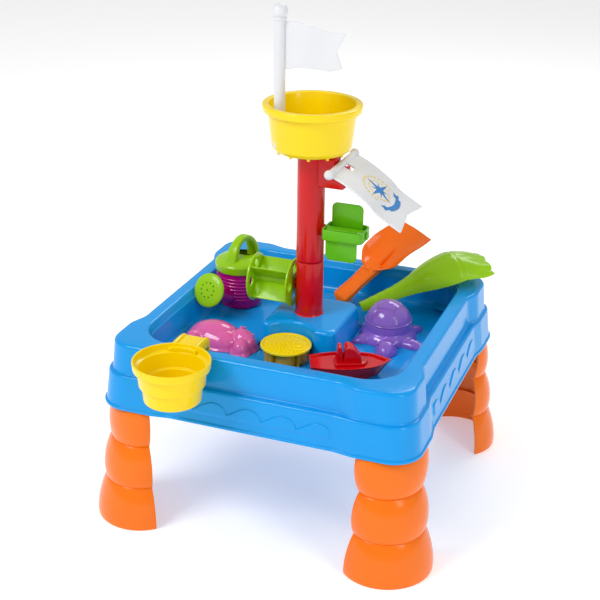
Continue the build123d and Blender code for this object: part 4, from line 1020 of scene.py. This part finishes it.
def emblem():
    """Generic compass star over dashed rings, with a plain curved ribbon below."""
    blue_parts = []
    for k in range(8):
        a = math.radians(45 * k + 8)
        long = 22.0 if k % 2 == 0 else 13.5
        wide = 4.4 if k % 2 == 0 else 3.0
        tip = (long * math.cos(a), long * math.sin(a))
        left = (wide * math.cos(a + 0.75), wide * math.sin(a + 0.75))
        right = (wide * math.cos(a - 0.75), wide * math.sin(a - 0.75))
        blue_parts.append(sail_patch("star_ray", [(0, 0), right, tip, left], 0.75))
    ribbon = [(x, 20.0 + 4.5 * (1 - (x / 19.0) ** 2)) for x in np.linspace(19.0, -19.0, 24)]
    ribbon += [(x, 28.0 + 4.5 * (1 - (x / 19.0) ** 2)) for x in np.linspace(-19.0, 19.0, 24)]
    blue_parts.append(sail_patch("ribbon", ribbon, 0.75))
    for side in (1, -1):
        tail = [
            (side * 18.0, 25.5), (side * 27.5, 22.0), (side * 24.5, 18.0), (side * 26.5, 13.5),
            (side * 18.0, 17.5)
        ]
        blue_parts.append(sail_patch("ribbon_tail", tail if side > 0 else tail[::-1], 0.72))
    yellow_parts = []
    for radius, width, count in ((15.0, 2.2, 18), (22.5, 3.0, 24)):
        for k in range(count):
            a0 = 2 * math.pi * k / count
            if radius > 15 and math.radians(20) < a0 < math.radians(160):
                continue
            a1 = a0 + 2 * math.pi / count * 0.62
            arc = [(radius * math.cos(t), radius * math.sin(t)) for t in np.linspace(a0, a1, 5)]
            arc += [
                ((radius + width) * math.cos(t), (radius + width) * math.sin(t))
                for t in np.linspace(a1, a0, 5)
            ]
            yellow_parts.append(sail_patch("ring_dash", arc, 0.70))
    return join("emblem_blue", blue_parts), join("emblem_yellow", yellow_parts)


emblem_blue, emblem_yellow = emblem()
dress(emblem_blue, print_blue, "sail_body", ["sail"])
dress(emblem_yellow, print_yellow, "sail_body", ["sail"])

# ---------------------------------------------------------------- hanging cup
CUP_R = 46.2
CUP = np.array([low("hanging_cup")[0] + CUP_R, low("hanging_cup")[1] + CUP_R])
CUP_BASE = low("hanging_cup")[2]
CUP_RIM = CUP_BASE + 51.7


def cup():
    """Three stepped tiers with rolled edges, and a hook over the tub's rim with two horns."""
    b = CUP_BASE
    points = [
        (0.05, b), (34.0, b), (35.8, b + 20.0), (39.0, b + 21.0), (41.0, b + 40.6),
        (45.3, b + 41.4), (CUP_R, CUP_RIM), (43.6, CUP_RIM), (42.9, b + 43.6), (38.6, b + 42.4),
        (36.8, b + 23.4), (33.6, b + 22.4), (32.0, b + 2.2), (0.05, b + 2.2),
    ]
    profile = rounded(points, [0, 3.5, 1.4, 1.6, 1.4, 1.6, 1.1, 1.1, 1.2, 1.4, 1.2, 1.4, 3.0, 0], steps=6)
    wall = lathe("cup_wall", profile, (np.array([CUP[0], CUP[1], 0]), UPRIGHT), 144)
    x0, x1 = -105.0, -70.0
    back = high("hanging_cup")[1]
    front = CUP[1] + 34.0
    top = 255.0
    strap = [
        (front, top - 1), (back - 3, top), (back, top - 4), (back, 226), (back - 3, 226),
        (back - 3, RIM_Z + 0.6), (front, RIM_Z + 0.6)
    ]
    strap = rounded(strap, [0, 5, 3, 1.2, 1.2, 3, 0], True, 6)
    at = (np.array([x0, 0, 0]), np.stack([(0, 1, 0), (0, 0, 1), (1, 0, 0)], axis=1).astype(float))
    hook = prism("cup_hook", strap, 0, x1 - x0, at, 1.6)
    inside = [
        (38.9 * math.cos(t), 38.9 * math.sin(t)) for t in np.linspace(0, 2 * math.pi, 96, endpoint=False)
    ]
    bore = prism("cup_bore", inside, 200, 300, (np.array([CUP[0], CUP[1], 0]), UPRIGHT), 0)
    cut(hook, bore)
    parts = [wall, hook]
    for horn_x in (x0 + 3.2, x1 - 3.2):
        run = np.linspace(front + 8, back - 4, 14)
        path = [(horn_x, y, top - 0.6) for y in run]
        section = []
        for k in range(14):
            s = math.sin(math.pi * (k + 0.5) / 14) ** 0.35
            section.append(
                [
                    (3.1 * math.cos(t), 3.4 * s * math.sin(t))
                    for t in np.linspace(0, 2 * math.pi, 16, endpoint=False)
                ]
            )
        parts.append(bar("cup_horn", path, section, [(0, 0, 1)] * 14))
    return join("hanging_cup_look", parts)


dress(cup(), yellow, "cup", ["hanging_cup"])

# ---------------------------------------------------------------- watering can
CAN = middle("can_body")[:2]
CAN_FOOT = low("can_body")[2]
CAN_AIM = math.radians(-101.0)
AIM = np.array([math.cos(CAN_AIM), math.sin(CAN_AIM), 0])
CAN_TOP = high("can_body")[2]
can_at = (np.array([CAN[0], CAN[1], 0]), UPRIGHT)


def can_body():
    """Bellied magenta body with seven raised rings and a rolled foot."""
    points = [(0.05, CAN_FOOT), (26.5, CAN_FOOT), (28.0, CAN_FOOT + 2)]
    wall = []
    for z in np.arange(CAN_FOOT + 3, CAN_TOP, 0.5):
        r = 28.0 + 5.0 * (z - CAN_FOOT) / (CAN_TOP - CAN_FOOT)
        phase = (z - 214.0) / 5.0
        if -0.5 < phase < 6.5:
            r += 1.1 * max(0.0, math.cos(2 * math.pi * (phase - round(phase)))) ** 1.5
        wall.append((r, z))
    inner = [(31.0, CAN_TOP), (26.2, CAN_FOOT + 2.2), (0.05, CAN_FOOT + 2)]
    return lathe("can_body_look", list(rounded(points, [0, 1.5, 0], steps=4)) + wall + inner, can_at, 120)


dress(can_body(), magenta, "can", ["can_body"])
HOLE = CAN - AIM[:2] * 13.0


def can_lid():
    """Domed lime lid with a deep band, a filling hole and an arched handle."""
    t = CAN_TOP
    points = [
        (0.05, t + 18.5), (20, t + 17.4), (30, t + 13.6), (33.2, t + 11.6), (34.8, t + 9.6),
        (34.9, t + 0.3), (33.2, t + 0.3), (32.9, t + 9), (29, t + 12), (18, t + 15.4), (0.05, t + 16.5)
    ]
    profile = rounded(points, [0, 8, 3, 1.2, 1.6, 0.6, 0.4, 1.4, 3, 6, 0], steps=5)
    dome = lathe("can_dome", profile, can_at, 120)
    circle = [
        (14.0 * math.cos(a), 14.0 * math.sin(a)) for a in np.linspace(0, 2 * math.pi, 64, endpoint=False)
    ]
    cut(dome, prism("can_hole", circle, t + 2, t + 40, (np.array([HOLE[0], HOLE[1], 0]), UPRIGHT), 0))
    soften(dome, 0.7, 45, 3)
    path, sections, ups = [], [], []
    centre = np.array([CAN[0], CAN[1], 0]) + AIM * -4.5
    top = high("can_lid")[2]
    base = t + 10.5
    for a in np.linspace(-0.06, math.pi + 0.06, 41):
        reach = 25.6
        rise = top - base - 4.0
        p = centre + AIM * reach * math.cos(a) + np.array([0, 0, base + rise * math.sin(a)])
        path.append(p)
        ups.append(AIM * math.cos(a) + np.array([0, 0, math.sin(a)]))
        flare = 1 + 0.35 * abs(math.cos(a)) ** 3
        half_w, half_t = 6.2 * flare, 3.9 * (1 + 0.15 * abs(math.cos(a)) ** 4)
        ring = rounded(
            [(half_w, -half_t), (half_w, half_t), (-half_w, half_t), (-half_w, -half_t)], 2.6, True, 4
        )
        sections.append(ring)
    handle = bar("can_handle", path, sections, ups)
    pip = rounded(
        [(3.4, 0), (3.0, 2.2), (1.7, 2.6), (1.6, 0.4), (0.05, 0.3)], [0, 0.6, 0.4, 0.2, 0], steps=3
    )
    spot = np.array([CAN[0], CAN[1], t + 14.2]) + AIM * 26.0 + np.cross(AIM, (0, 0, 1)) * -3.0
    tilt = AIM * 0.5 + np.array([0, 0, 1.0])
    vent = lathe("can_vent", pip, frame_matrix(spot - np.array([0, 0, 1.6]), tilt, (1, 0, 0)), 24)
    return join("can_lid_look", [dome, handle, vent])


dress(can_lid(), lime, "can", ["can_lid"])
ROSE_AIM = AIM * math.cos(math.radians(24)) + np.array([0, 0, math.sin(math.radians(24))])
ROSE_FACE = np.array([CAN[0], CAN[1], 0]) + AIM * 78.0 + np.array([0, 0, 245.5])
ROSE_BACK = ROSE_FACE - ROSE_AIM * 14.0


def can_spout():
    start = np.array([CAN[0], CAN[1], 219.0]) + AIM * 27.5
    path = spline(
        [start, start * 0.55 + ROSE_BACK * 0.45 + np.array([0, 0, -1.5]), ROSE_BACK + ROSE_AIM * 0.5], 24
    )
    return tube("can_spout_look", path, np.linspace(10.0, 7.0, 24), 32)


dress(can_spout(), magenta, "can", ["can_spout"])


def can_rose():
    """Domed sprinkler head with a rolled rim, one middle hole and a ring of ten."""
    at = frame_matrix(ROSE_BACK, ROSE_AIM)
    face = [
        (22.6 * math.cos(t), 11.2 + 4.2 * math.sin(t)) for t in np.linspace(0.0, math.pi / 2 - 0.01, 16)
    ]
    points = list(
        rounded(
            [(7.2, 0), (9.0, 0.6), (20.5, 8.0), (22.7, 9.6), (22.7, 11.2)], [0, 1.5, 2.0, 1.2, 0], steps=5
        )
    ) + face
    head = lathe("rose_head", points, at, 96)
    origin, axes = at
    for k in range(11):
        a = 2 * math.pi * k / 10
        r = 0.0 if k == 10 else 10.0
        depth = 11.2 + 4.2 * math.sqrt(1 - (r / 22.6) ** 2)
        spot = origin + axes @ np.array([r * math.cos(a), r * math.sin(a), depth - 2.0])
        circle = [
            (1.25 * math.cos(t), 1.25 * math.sin(t))
            for t in np.linspace(0, 2 * math.pi, 16, endpoint=False)
        ]
        cut(head, prism("rose_hole", circle, 0, 6, (spot, axes), 0))
    head.data.shade_smooth()
    head.data.set_sharp_from_angle(angle=math.radians(FOLD))
    return head


dress(can_rose(), lime, "can", ["can_rose"])
origin, axes = frame_matrix(ROSE_BACK, ROSE_AIM)

# ---------------------------------------------------------------- hippo mould
TOY_Z = low("hippo_mould")[2]
HIPPO = np.array([-96.0, -58.0])


def hippo():
    """Smooth lying hippo: body, head with snout and ear, two legs and a thin flange."""
    lumps = []
    for x, y, a, b, h, swing in (
        (
            -12, 3, 38.5, 28.5, 26.5, -4
        ), (27, 0, 21, 16.5, 24, -14), (36, -6, 13, 12.5, 21.5, 0), (18, 18.5, 6.0, 6.0, 19, 0),
        (-33, -19, 13, 15.5, 20, 8), (33.5, -20, 11.5, 13.5, 19, -6), (0, -6, 28, 20, 22, 0),
    ):
        lumps.append(((HIPPO[0] + x, HIPPO[1] + y, TOY_Z), (a, b, h), swing))
        lumps.append(((HIPPO[0] + x, HIPPO[1] + y, TOY_Z), (a + 2.6, b + 2.6, 5.5), swing))
    body = melt("hippo_body", lumps, 1.2, 6, TOY_Z)
    parts = [body]
    for x, y, r, z in ((40.5, 3.0, 1.9, 17.0), (27.0, 8.5, 1.6, 22.6)):
        dot = [((HIPPO[0] + x, HIPPO[1] + y, TOY_Z + z), (r, r, r), 0)]
        parts.append(melt("hippo_dot", dot, 0.5, 2))
    return join("hippo_mould_look", parts)


dress(hippo(), pink, "hippo", ["hippo_mould"])

# ---------------------------------------------------------------- turtle mould
TURTLE = np.array([95.0, 42.0])
TURTLE_AIM = -75.7


def turtle():
    """Domed shell with raised plate lines, a sloping skirt, four flippers and a round head."""
    spot = np.array([TURTLE[0], TURTLE[1], TOY_Z])
    lumps = [((*TURTLE, TOY_Z + 17.0), (30.6, 30.6, 33.4), 0), ((*TURTLE, TOY_Z), (38.0, 38.0, 22.0), 0)]
    for swing, reach, half, height in (
        (50, 60, 11.5, 9.5), (-57, 51, 10.5, 9.5), (120, 51, 9.5, 8.5), (-127, 46, 9.5, 8.5)
    ):
        a = math.radians(TURTLE_AIM + swing)
        mid = (reach + 20) / 2
        centre = (TURTLE[0] + mid * math.cos(a), TURTLE[1] + mid * math.sin(a), TOY_Z)
        sweep = 14 if swing > 0 else -14
        lumps.append((centre, ((reach - 20) / 2 - 0.8, half - 0.8, height), TURTLE_AIM + swing + sweep))
        tip = (TURTLE[0] + (reach - 6) * math.cos(a), TURTLE[1] + (reach - 6) * math.sin(a), TOY_Z)
        lumps.append((tip, (9.5, 4.6, height * 0.6), TURTLE_AIM + swing + 2.5 * sweep))
    a = math.radians(TURTLE_AIM)
    head = (TURTLE[0] + 48 * math.cos(a), TURTLE[1] + 48 * math.sin(a), TOY_Z)
    lumps.append((head, (18.5, 14.5, 16.0), TURTLE_AIM))
    body = melt("turtle_body", lumps, 1.2, 4, TOY_Z)
    parts = [body]
    centre = spot + np.array([0, 0, 17.0])

    def on_shell(polar_angle, swing):
        n = np.array(
            [
                math.sin(polar_angle) * math.cos(swing), math.sin(polar_angle) * math.sin(swing),
                math.cos(polar_angle)
            ]
        )
        return centre + n * np.array([30.3, 30.3, 33.1])

    for k in range(5):
        s0, s1 = 2 * math.pi * k / 5 + 0.3, 2 * math.pi * (k + 1) / 5 + 0.3
        a, b = on_shell(0.62, s0), on_shell(0.62, s1)
        arc = []
        for t in np.linspace(0, 1, 12):
            p = a * (1 - t) + b * t - centre
            arc.append(centre + p / np.linalg.norm(p / np.array([30.3, 30.3, 33.1])))
        parts.append(tube("shell_line", arc, 0.85, 8))
        parts.append(tube("shell_line", [on_shell(q, s0) for q in np.linspace(0.62, 1.32, 10)], 0.85, 8))
    rim = [on_shell(1.34, t) for t in np.linspace(0, 2 * math.pi, 61)]
    parts.append(tube("shell_rim", rim, 1.3, 10))
    for side in (0.42, -0.42):
        b = math.radians(TURTLE_AIM) + side * 0.5
        eye = (TURTLE[0] + 52 * math.cos(b), TURTLE[1] + 52 * math.sin(b), TOY_Z + 12.4)
        parts.append(melt("turtle_eye", [(eye, (2.2, 2.2, 2.2), 0)], 0.6, 2))
    return join("turtle_mould_look", parts)


dress(turtle(), purple, "turtle", ["turtle_mould"])

# ---------------------------------------------------------------- boat
BOAT = np.array([39.5, -103.0])
BOAT_AIM = 24.5
DECK = 220.5
boat_along = np.array([math.cos(math.radians(BOAT_AIM)), math.sin(math.radians(BOAT_AIM)), 0])
boat_at = (
    np.array([BOAT[0], BOAT[1], 0]),
    np.stack([boat_along, np.cross((0, 0, 1), boat_along), (0, 0, 1)], axis=1)
)


def deck_line(beam, transom, start, end, count=40):
    """Half outline of the hull from the stern to the bow."""
    half_way = start + (end - start) * 0.45
    return spline(
        [
            (start, transom), (start + (end - start) * 0.2, transom + (beam - transom) * 0.72),
            (half_way, beam), (start + (end - start) * 0.78, beam * 0.74), (end, 0.4)
        ],
        count
    )


def hull():
    """Plank-stepped hull, rolled gunwale and a sunken deck."""
    rings = []
    levels = [(0.0, TOY_Z), (0.10, TOY_Z + 1.0)]
    steps = 4
    for k in range(steps):
        a, b = 0.12 + 0.20 * k, 0.12 + 0.20 * (k + 1)
        levels += [(a, None), (a + 0.17, None), (b - 0.012, "dent")]
    levels += [(0.93, None), (0.95, "lip"), (0.985, "lip"), (1.0, "top")]
    for t, kind in levels:
        z = TOY_Z + (DECK - TOY_Z) * t if not isinstance(kind, float) else kind
        e = -0.7 if kind == "dent" else (0.9 if kind == "lip" else (0.4 if kind == "top" else 0.0))
        beam = 15 + (24.2 - 15) * t**0.8 + e
        transom = 11 + (16.4 - 11) * t + e
        start = 3 * (1 - t) - 0.0
        end = 84 + (100.0 - 84) * t + e
        half = deck_line(beam, transom, start, end)
        loop = np.vstack([half, half[::-1] * np.array([1, -1])])
        rings.append(place(np.hstack([loop, np.full((len(loop), 1), z)]), boat_at))
    for inset, z in ((1.3, DECK), (2.0, DECK - 0.6), (2.2, DECK - 2.4), (4.0, DECK - 2.6)):
        half = deck_line(24.6 - inset, 16.8 - inset, inset, 100.4 - 3 * inset)
        loop = np.vstack([half, half[::-1] * np.array([1, -1])])
        rings.append(place(np.hstack([loop, np.full((len(loop), 1), z)]), boat_at))
    return skin("boat_hull_look", rings, True, True, True, sharp=32)


dress(hull(), boat_red, "boat", ["boat_hull"])


def cabin():
    """Swept fin and a raked screen on a low coaming."""
    side_axes = np.stack([boat_along, (0, 0, 1), np.cross(boat_along, (0, 0, 1))], axis=1).astype(float)
    parts = []
    base = DECK - 2.4
    fin = rounded(
        [(31.2, base), (41.5, base), (39.2, 231), (39.0, 240.6), (34.0, 241.8)], [0, 0, 2, 1.4, 1.6], True,
        5
    )
    screen_line = [
        (40.0, base), (64.0, base), (61.5, 230), (53.0, 239.5), (45.6, 242.0), (42.4, 239.5), (41.4, 229)
    ]
    screen = rounded(screen_line, [0, 0, 6, 5, 2, 1.5, 3], True, 5)
    for shape, half in ((fin, 7.5), (screen, 9.6)):
        origin = np.array([BOAT[0], BOAT[1], 0]) - side_axes[:, 2] * half
        block = prism("boat_block", shape, 0, 2 * half, (origin, side_axes), 1.3)
        parts.append(block)
    coaming = rounded([(30, -12.5), (66, -11), (72, 0), (66, 11), (30, 12.5)], [4, 6, 6, 6, 4], True, 5)
    parts.append(prism("boat_coaming", coaming, base - 0.2, base + 3.0, boat_at, 1.0))
    return join("boat_cabin_look", parts)


dress(cabin(), boat_red, "boat", ["boat_cabin"])

# ---------------------------------------------------------------- sieve
SIEVE = middle("sieve_disc")[:2]
SIEVE_TOP = high("sieve_disc")[2]
SIEVE_R = (high("sieve_disc")[0] - low("sieve_disc")[0]) / 2
sieve_at = (np.array([SIEVE[0], SIEVE[1], 0]), UPRIGHT)


def sieve_disc():
    """Plate with a rolled rim, raised dots and a round dimple."""
    top = SIEVE_TOP
    points = [
        (0.05, top - 1.2), (27.2, top - 1.2), (29.0, top), (SIEVE_R - 0.2, top), (SIEVE_R, top - 3.6),
        (28, top - 3.6), (0.05, top - 3.4)
    ]
    plate = lathe("sieve_plate", rounded(points, [0, 1.2, 1.0, 1.4, 1.2, 0.5, 0], steps=5), sieve_at, 120)
    parts = [plate]
    for ring_r, count in ((5.0, 6), (10.0, 12), (15.0, 18), (20.0, 24), (24.6, 28)):
        for k in range(count):
            a = 2 * math.pi * k / count + ring_r * 0.3
            spot = np.array([SIEVE[0] + ring_r * math.cos(a), SIEVE[1] + ring_r * math.sin(a), top - 1.3])
            if math.hypot(ring_r * math.cos(a) - 17, ring_r * math.sin(a) + 4) < 6.5:
                continue
            dot = [(1.5, 0), (1.3, 0.8), (0.7, 1.15), (0.02, 1.2)]
            parts.append(lathe("sieve_dot", dot, (spot, UPRIGHT), 10, sharp=80))
    dimple = rounded(
        [(6.0, 0.0), (5.6, 0.9), (4.4, 0.9), (3.6, -0.2), (0.05, -0.4)], [0, 0.4, 0.5, 0.8, 0], steps=4
    )
    parts.append(
        lathe("sieve_dimple", dimple, (np.array([SIEVE[0] + 17, SIEVE[1] - 4, top - 1.2]), UPRIGHT), 32)
    )
    return join("sieve_disc_look", parts)


dress(sieve_disc(), yellow, "sieve", ["sieve_disc"])


def sieve_base():
    """Five-lobed skirt under the plate with fins between the lobes."""
    turn = np.linspace(0, 2 * math.pi, 240, endpoint=False)
    rings = []
    foot, top = low("sieve_base")[2], high("sieve_base")[2]
    for z, grow in ((foot, 0.0), (foot + 0.8, 0.6), (foot + 5, 0.5), (top - 2, -0.6), (top, -0.6)):
        r = 22.6 + 5.0 * np.abs(np.cos(2.5 * turn)) ** 0.7 + grow
        rings.append(
            place(np.stack([r * np.cos(turn), r * np.sin(turn), np.full(240, z)], axis=1), sieve_at)
        )
    wall = skin("sieve_skirt", rings, True, sharp=60)
    thicken(wall, 1.8)
    parts = [wall]
    for k in range(5):
        a = math.radians(36 + 72 * k)
        way = np.array([math.cos(a), math.sin(a), 0])
        at = (
            np.array([SIEVE[0], SIEVE[1], 0]), np.stack([way, np.cross((0, 0, 1), way), (0, 0, 1)], axis=1)
        )
        fin = rounded([(21, -0.9), (30.4, -0.9), (30.4, 0.9), (21, 0.9)], 0.6, True, 3)
        parts.append(prism("sieve_fin", fin, foot + 0.3, top, at, 0.3))
    return join("sieve_base_look", parts)


dress(sieve_base(), amber, "sieve", ["sieve_base"])


# ---------------------------------------------------------------- spade
def tool_frame(foot, aim, tilt, roll=0.0):
    """Frame of a leaning tool: x along it, z out of its upper face, rolled to its right."""
    a, t, r = math.radians(aim), math.radians(tilt), math.radians(roll)
    flat = np.array([math.cos(a), math.sin(a), 0])
    left = np.array([-math.sin(a), math.cos(a), 0])
    along = flat * math.cos(t) + np.array([0, 0, math.sin(t)])
    up = np.array([0, 0, math.cos(t)]) - flat * math.sin(t)
    up = up * math.cos(r) - left * math.sin(r)
    return np.array(foot, float), np.stack([along, np.cross(up, along), up], axis=1)


SPADE_AT = tool_frame((3.5, 108.0, 204.5), 52.3, 33.5, 10.0)


def spade():
    """Dished shield blade with raised sides, a rib, and a rounded handle with finger dents."""
    rows, cols = 56, 61
    heel, tip = 64.0, 150.5
    rings = []
    for i in range(rows):
        s = i / (rows - 1)
        ring = []
        for j in range(cols):
            v = -1 + 2 * j / (cols - 1)
            end = tip + 2.5 * (1 - v * v)
            x = heel + (end - heel) * s
            grow = float(smoothstep(0.0, 0.30, s)) ** 0.6
            half = 13.0 + 19.5 * grow + 2.0 * s
            side = abs(v) ** 3.6
            fade = 1 - 0.72 * float(smoothstep(0.45, 1.0, s))
            back = 1 - float(smoothstep(0.0, 0.22, s))
            z = 1.8 + 13.0 * side * fade + 8.5 * back * (1 - side)
            ring.append((x, v * half, z))
        rings.append(place(ring, SPADE_AT))
    blade = skin("spade_blade", rings, False, sharp=70)
    thicken(blade, 2.2, 1.0)
    soften(blade, 0.7, 50, 3)
    sections, path = [], []
    for x in np.linspace(0.0, 76.0, 77):
        nose = float(smoothstep(-1.0, 8.0, x)) ** 0.5
        waist = 1 - 0.12 * math.exp(-(((x - 40) / 20) ** 2))
        half = 13.4 * nose * waist
        dent = sum(math.exp(-(((x - c) / 3.4) ** 2)) for c in (26, 36, 46, 56))
        hole = math.exp(-(((x - 11) / 2.4) ** 2))
        thick = 10.6 * nose**0.5
        ring = rounded(
            [(half, 0.2), (half, thick - 0.6), (-half, thick - 0.6), (-half, 0.2)], min(3.2, thick * 0.4),
            True, 5
        )
        ring = ring.copy()
        on_top = smoothstep(thick * 0.55, thick * 0.8, ring[:, 1])
        ring[:, 1] += on_top * (0.4 - 1.5 * dent * np.exp(-((ring[:, 0] / 6.5) ** 2)))
        ring[:, 1] -= on_top * 3.0 * hole * np.exp(-((ring[:, 0] / 2.6) ** 2))
        sections.append(ring)
        path.append((x, 0, 0))
    rings = []
    for p, ring in zip(path, sections):
        rings.append(place([(p[0], y, z) for y, z in ring], SPADE_AT))
    handle = skin("spade_handle", rings, True, True, True, sharp=60)
    ridge = []
    for x in np.linspace(60, 116, 30):
        s = (x - 60) / 56
        half = 8.0 * (1 - s) + 1.2
        rise = 10.4 * (1 - s) ** 0.9 + 1.6
        ridge.append(
            place(
                [(x, half * math.cos(t), 0.6 + rise * math.sin(t)) for t in np.linspace(0, math.pi, 15)],
                SPADE_AT
            )
        )
    rib = skin("spade_rib", ridge, False, sharp=70)
    strip = []
    for x in np.linspace(10, 58, 40):
        strip.append(
            place(
                [
                    (x, 8.2 + 0.8 * math.cos(t), 10.7 + 0.5 * math.sin(t))
                    for t in np.linspace(0, math.pi, 7)
                ],
                SPADE_AT
            )
        )
    line = skin("spade_line", strip, False, sharp=70)
    return join("spade_look", [blade, handle, rib, line])


dress(spade(), spade_orange, "spade_body", ["spade"])

# ---------------------------------------------------------------- scoop
SCOOP_AT = tool_frame((44.0, 84.0, 212.5), 36.0, 18.0)
SCOOP_STATIONS = [
    (0, 10.2, 9.2),
    (30, 12.2, 11.6),
    (54, 14.2, 13.8),
    (76, 19.0, 18.0),
    (96, 27.0, 24.0),
    (116, 33.6, 27.0),
    (134, 36, 27.6),
    (152, 35.4, 24.6),
    (168, 33, 20.5),
    (181, 27.5, 14.5),
]


def scoop():
    """Domed leaf blade drawn into a slim handle, creased across and pleated at its claw end."""
    body = spline(SCOOP_STATIONS, 130)
    turn = np.linspace(0, math.pi, 73)
    rings = []
    for x, half, rise in body:
        pleat = float(smoothstep(146, 170, x))
        crease = math.exp(-(((x - 142) / 1.8) ** 2))
        bulge = 1 + 0.035 * pleat * np.abs(np.cos(4 * turn)) * 2 - 0.02 * crease
        tip = 2.4 * pleat * np.abs(np.cos(4 * turn)) ** 0.8
        keel = 1 + 0.05 * np.exp(
            -(((turn - math.pi / 2) / 0.10) ** 2)
        ) * float(smoothstep(60, 90, x)) * (1 - pleat)
        dents = 0.0
        if x < 56:
            dents = 0.7 * sum(math.exp(-(((x - c) / 2.6) ** 2)) for c in (12, 24, 36, 48))
        y = half * np.cos(turn) * bulge
        z = rise * np.sin(turn) * bulge * keel - dents * np.sin(turn) ** 4
        z = z - 8.0 * float(smoothstep(135, 192, x)) * 1.6
        rings.append(place(np.stack([x + tip * float(smoothstep(170, 181, x)), y, z], axis=1), SCOOP_AT))
    shell = skin("scoop_look", rings, False, sharp=75)
    thicken(shell, 2.0)
    return soften(shell, 0.5, 55, 2)


dress(scoop(), lime, "scoop_body", ["scoop"])


# ---------------------------------------------------------------- floor, lights, camera
def studio():
    """Pale sweep and soft lights."""
    size = 30.0
    data = bpy.data.meshes.new("floor")
    data.from_pydata(
        [(-size, -size, 0), (size, -size, 0), (size, size, 0), (-size, size, 0)], [], [(0, 1, 2, 3)]
    )
    floor = bpy.data.objects.new("floor", data)
    bpy.context.scene.collection.objects.link(floor)
    mat = bpy.data.materials.new("floor_white")
    mat.use_nodes = True
    tree = mat.node_tree
    shader = tree.nodes["Principled BSDF"]
    noise = tree.nodes.new("ShaderNodeTexNoise")
    noise.inputs["Scale"].default_value = 3.0
    mix = tree.nodes.new("ShaderNodeMix")
    mix.data_type = "RGBA"
    mix.inputs["A"].default_value = (0.90, 0.90, 0.91, 1)
    mix.inputs["B"].default_value = (0.94, 0.94, 0.94, 1)
    tree.links.new(noise.outputs["Fac"], mix.inputs["Factor"])
    tree.links.new(mix.outputs["Result"], shader.inputs["Base Color"])
    shader.inputs["Roughness"].default_value = 0.75
    shader.inputs["Specular IOR Level"].default_value = 0.2
    shader.inputs["Emission Color"].default_value = (1, 1, 1, 1)
    shader.inputs["Emission Strength"].default_value = 0.32
    floor.data.materials.append(mat)
    world = bpy.data.worlds.new("studio")
    bpy.context.scene.world = world
    world.use_nodes = True
    world.node_tree.nodes["Background"].inputs["Color"].default_value = (1, 1, 1, 1)
    world.node_tree.nodes["Background"].inputs["Strength"].default_value = 0.55
    bpy.context.scene.view_settings.view_transform = "Standard"
    for name, place_at, aim_at, size_x, size_y, power in (
        ("key", (-1.1, -1.5, 2.1), (0, 0, 0.2), 1.1, 0.8, 30.0),
        ("fill", (1.7, -1.0, 1.2), (0, 0, 0.25), 0.5, 1.4, 9.0),
        ("back", (0.3, 1.8, 1.9), (0, 0, 0.25), 1.6, 0.6, 15.0),
    ):
        lamp = bpy.data.lights.new(name, "AREA")
        lamp.shape = "RECTANGLE"
        lamp.size = size_x
        lamp.size_y = size_y
        lamp.energy = power
        obj = bpy.data.objects.new(name, lamp)
        bpy.context.scene.collection.objects.link(obj)
        obj.location = place_at
        obj.rotation_euler = (Vector(aim_at) - Vector(place_at)).to_track_quat("-Z", "Y").to_euler()


CAMERA_AT = Vector((0.5114, -1.4030, 0.9130))
CAMERA_AIM = Vector((-0.0111, -0.0042, 0.2526))
CAMERA_ROLL = math.radians(0.83)
CAMERA_LENS = 76.09


def camera():
    data = bpy.data.cameras.new("camera")
    data.lens = CAMERA_LENS
    data.sensor_width = 36.0
    obj = bpy.data.objects.new("camera", data)
    bpy.context.scene.collection.objects.link(obj)
    forward = (CAMERA_AIM - CAMERA_AT).normalized()
    right = forward.cross(Vector((0, 0, 1))).normalized()
    up = right.cross(forward)
    turned = right * math.cos(CAMERA_ROLL) + up * math.sin(CAMERA_ROLL)
    upward = turned.cross(forward)
    matrix = Matrix((turned, upward, -forward)).transposed().to_4x4()
    matrix.translation = CAMERA_AT
    obj.matrix_world = matrix
    bpy.context.scene.camera = obj


studio()
camera()
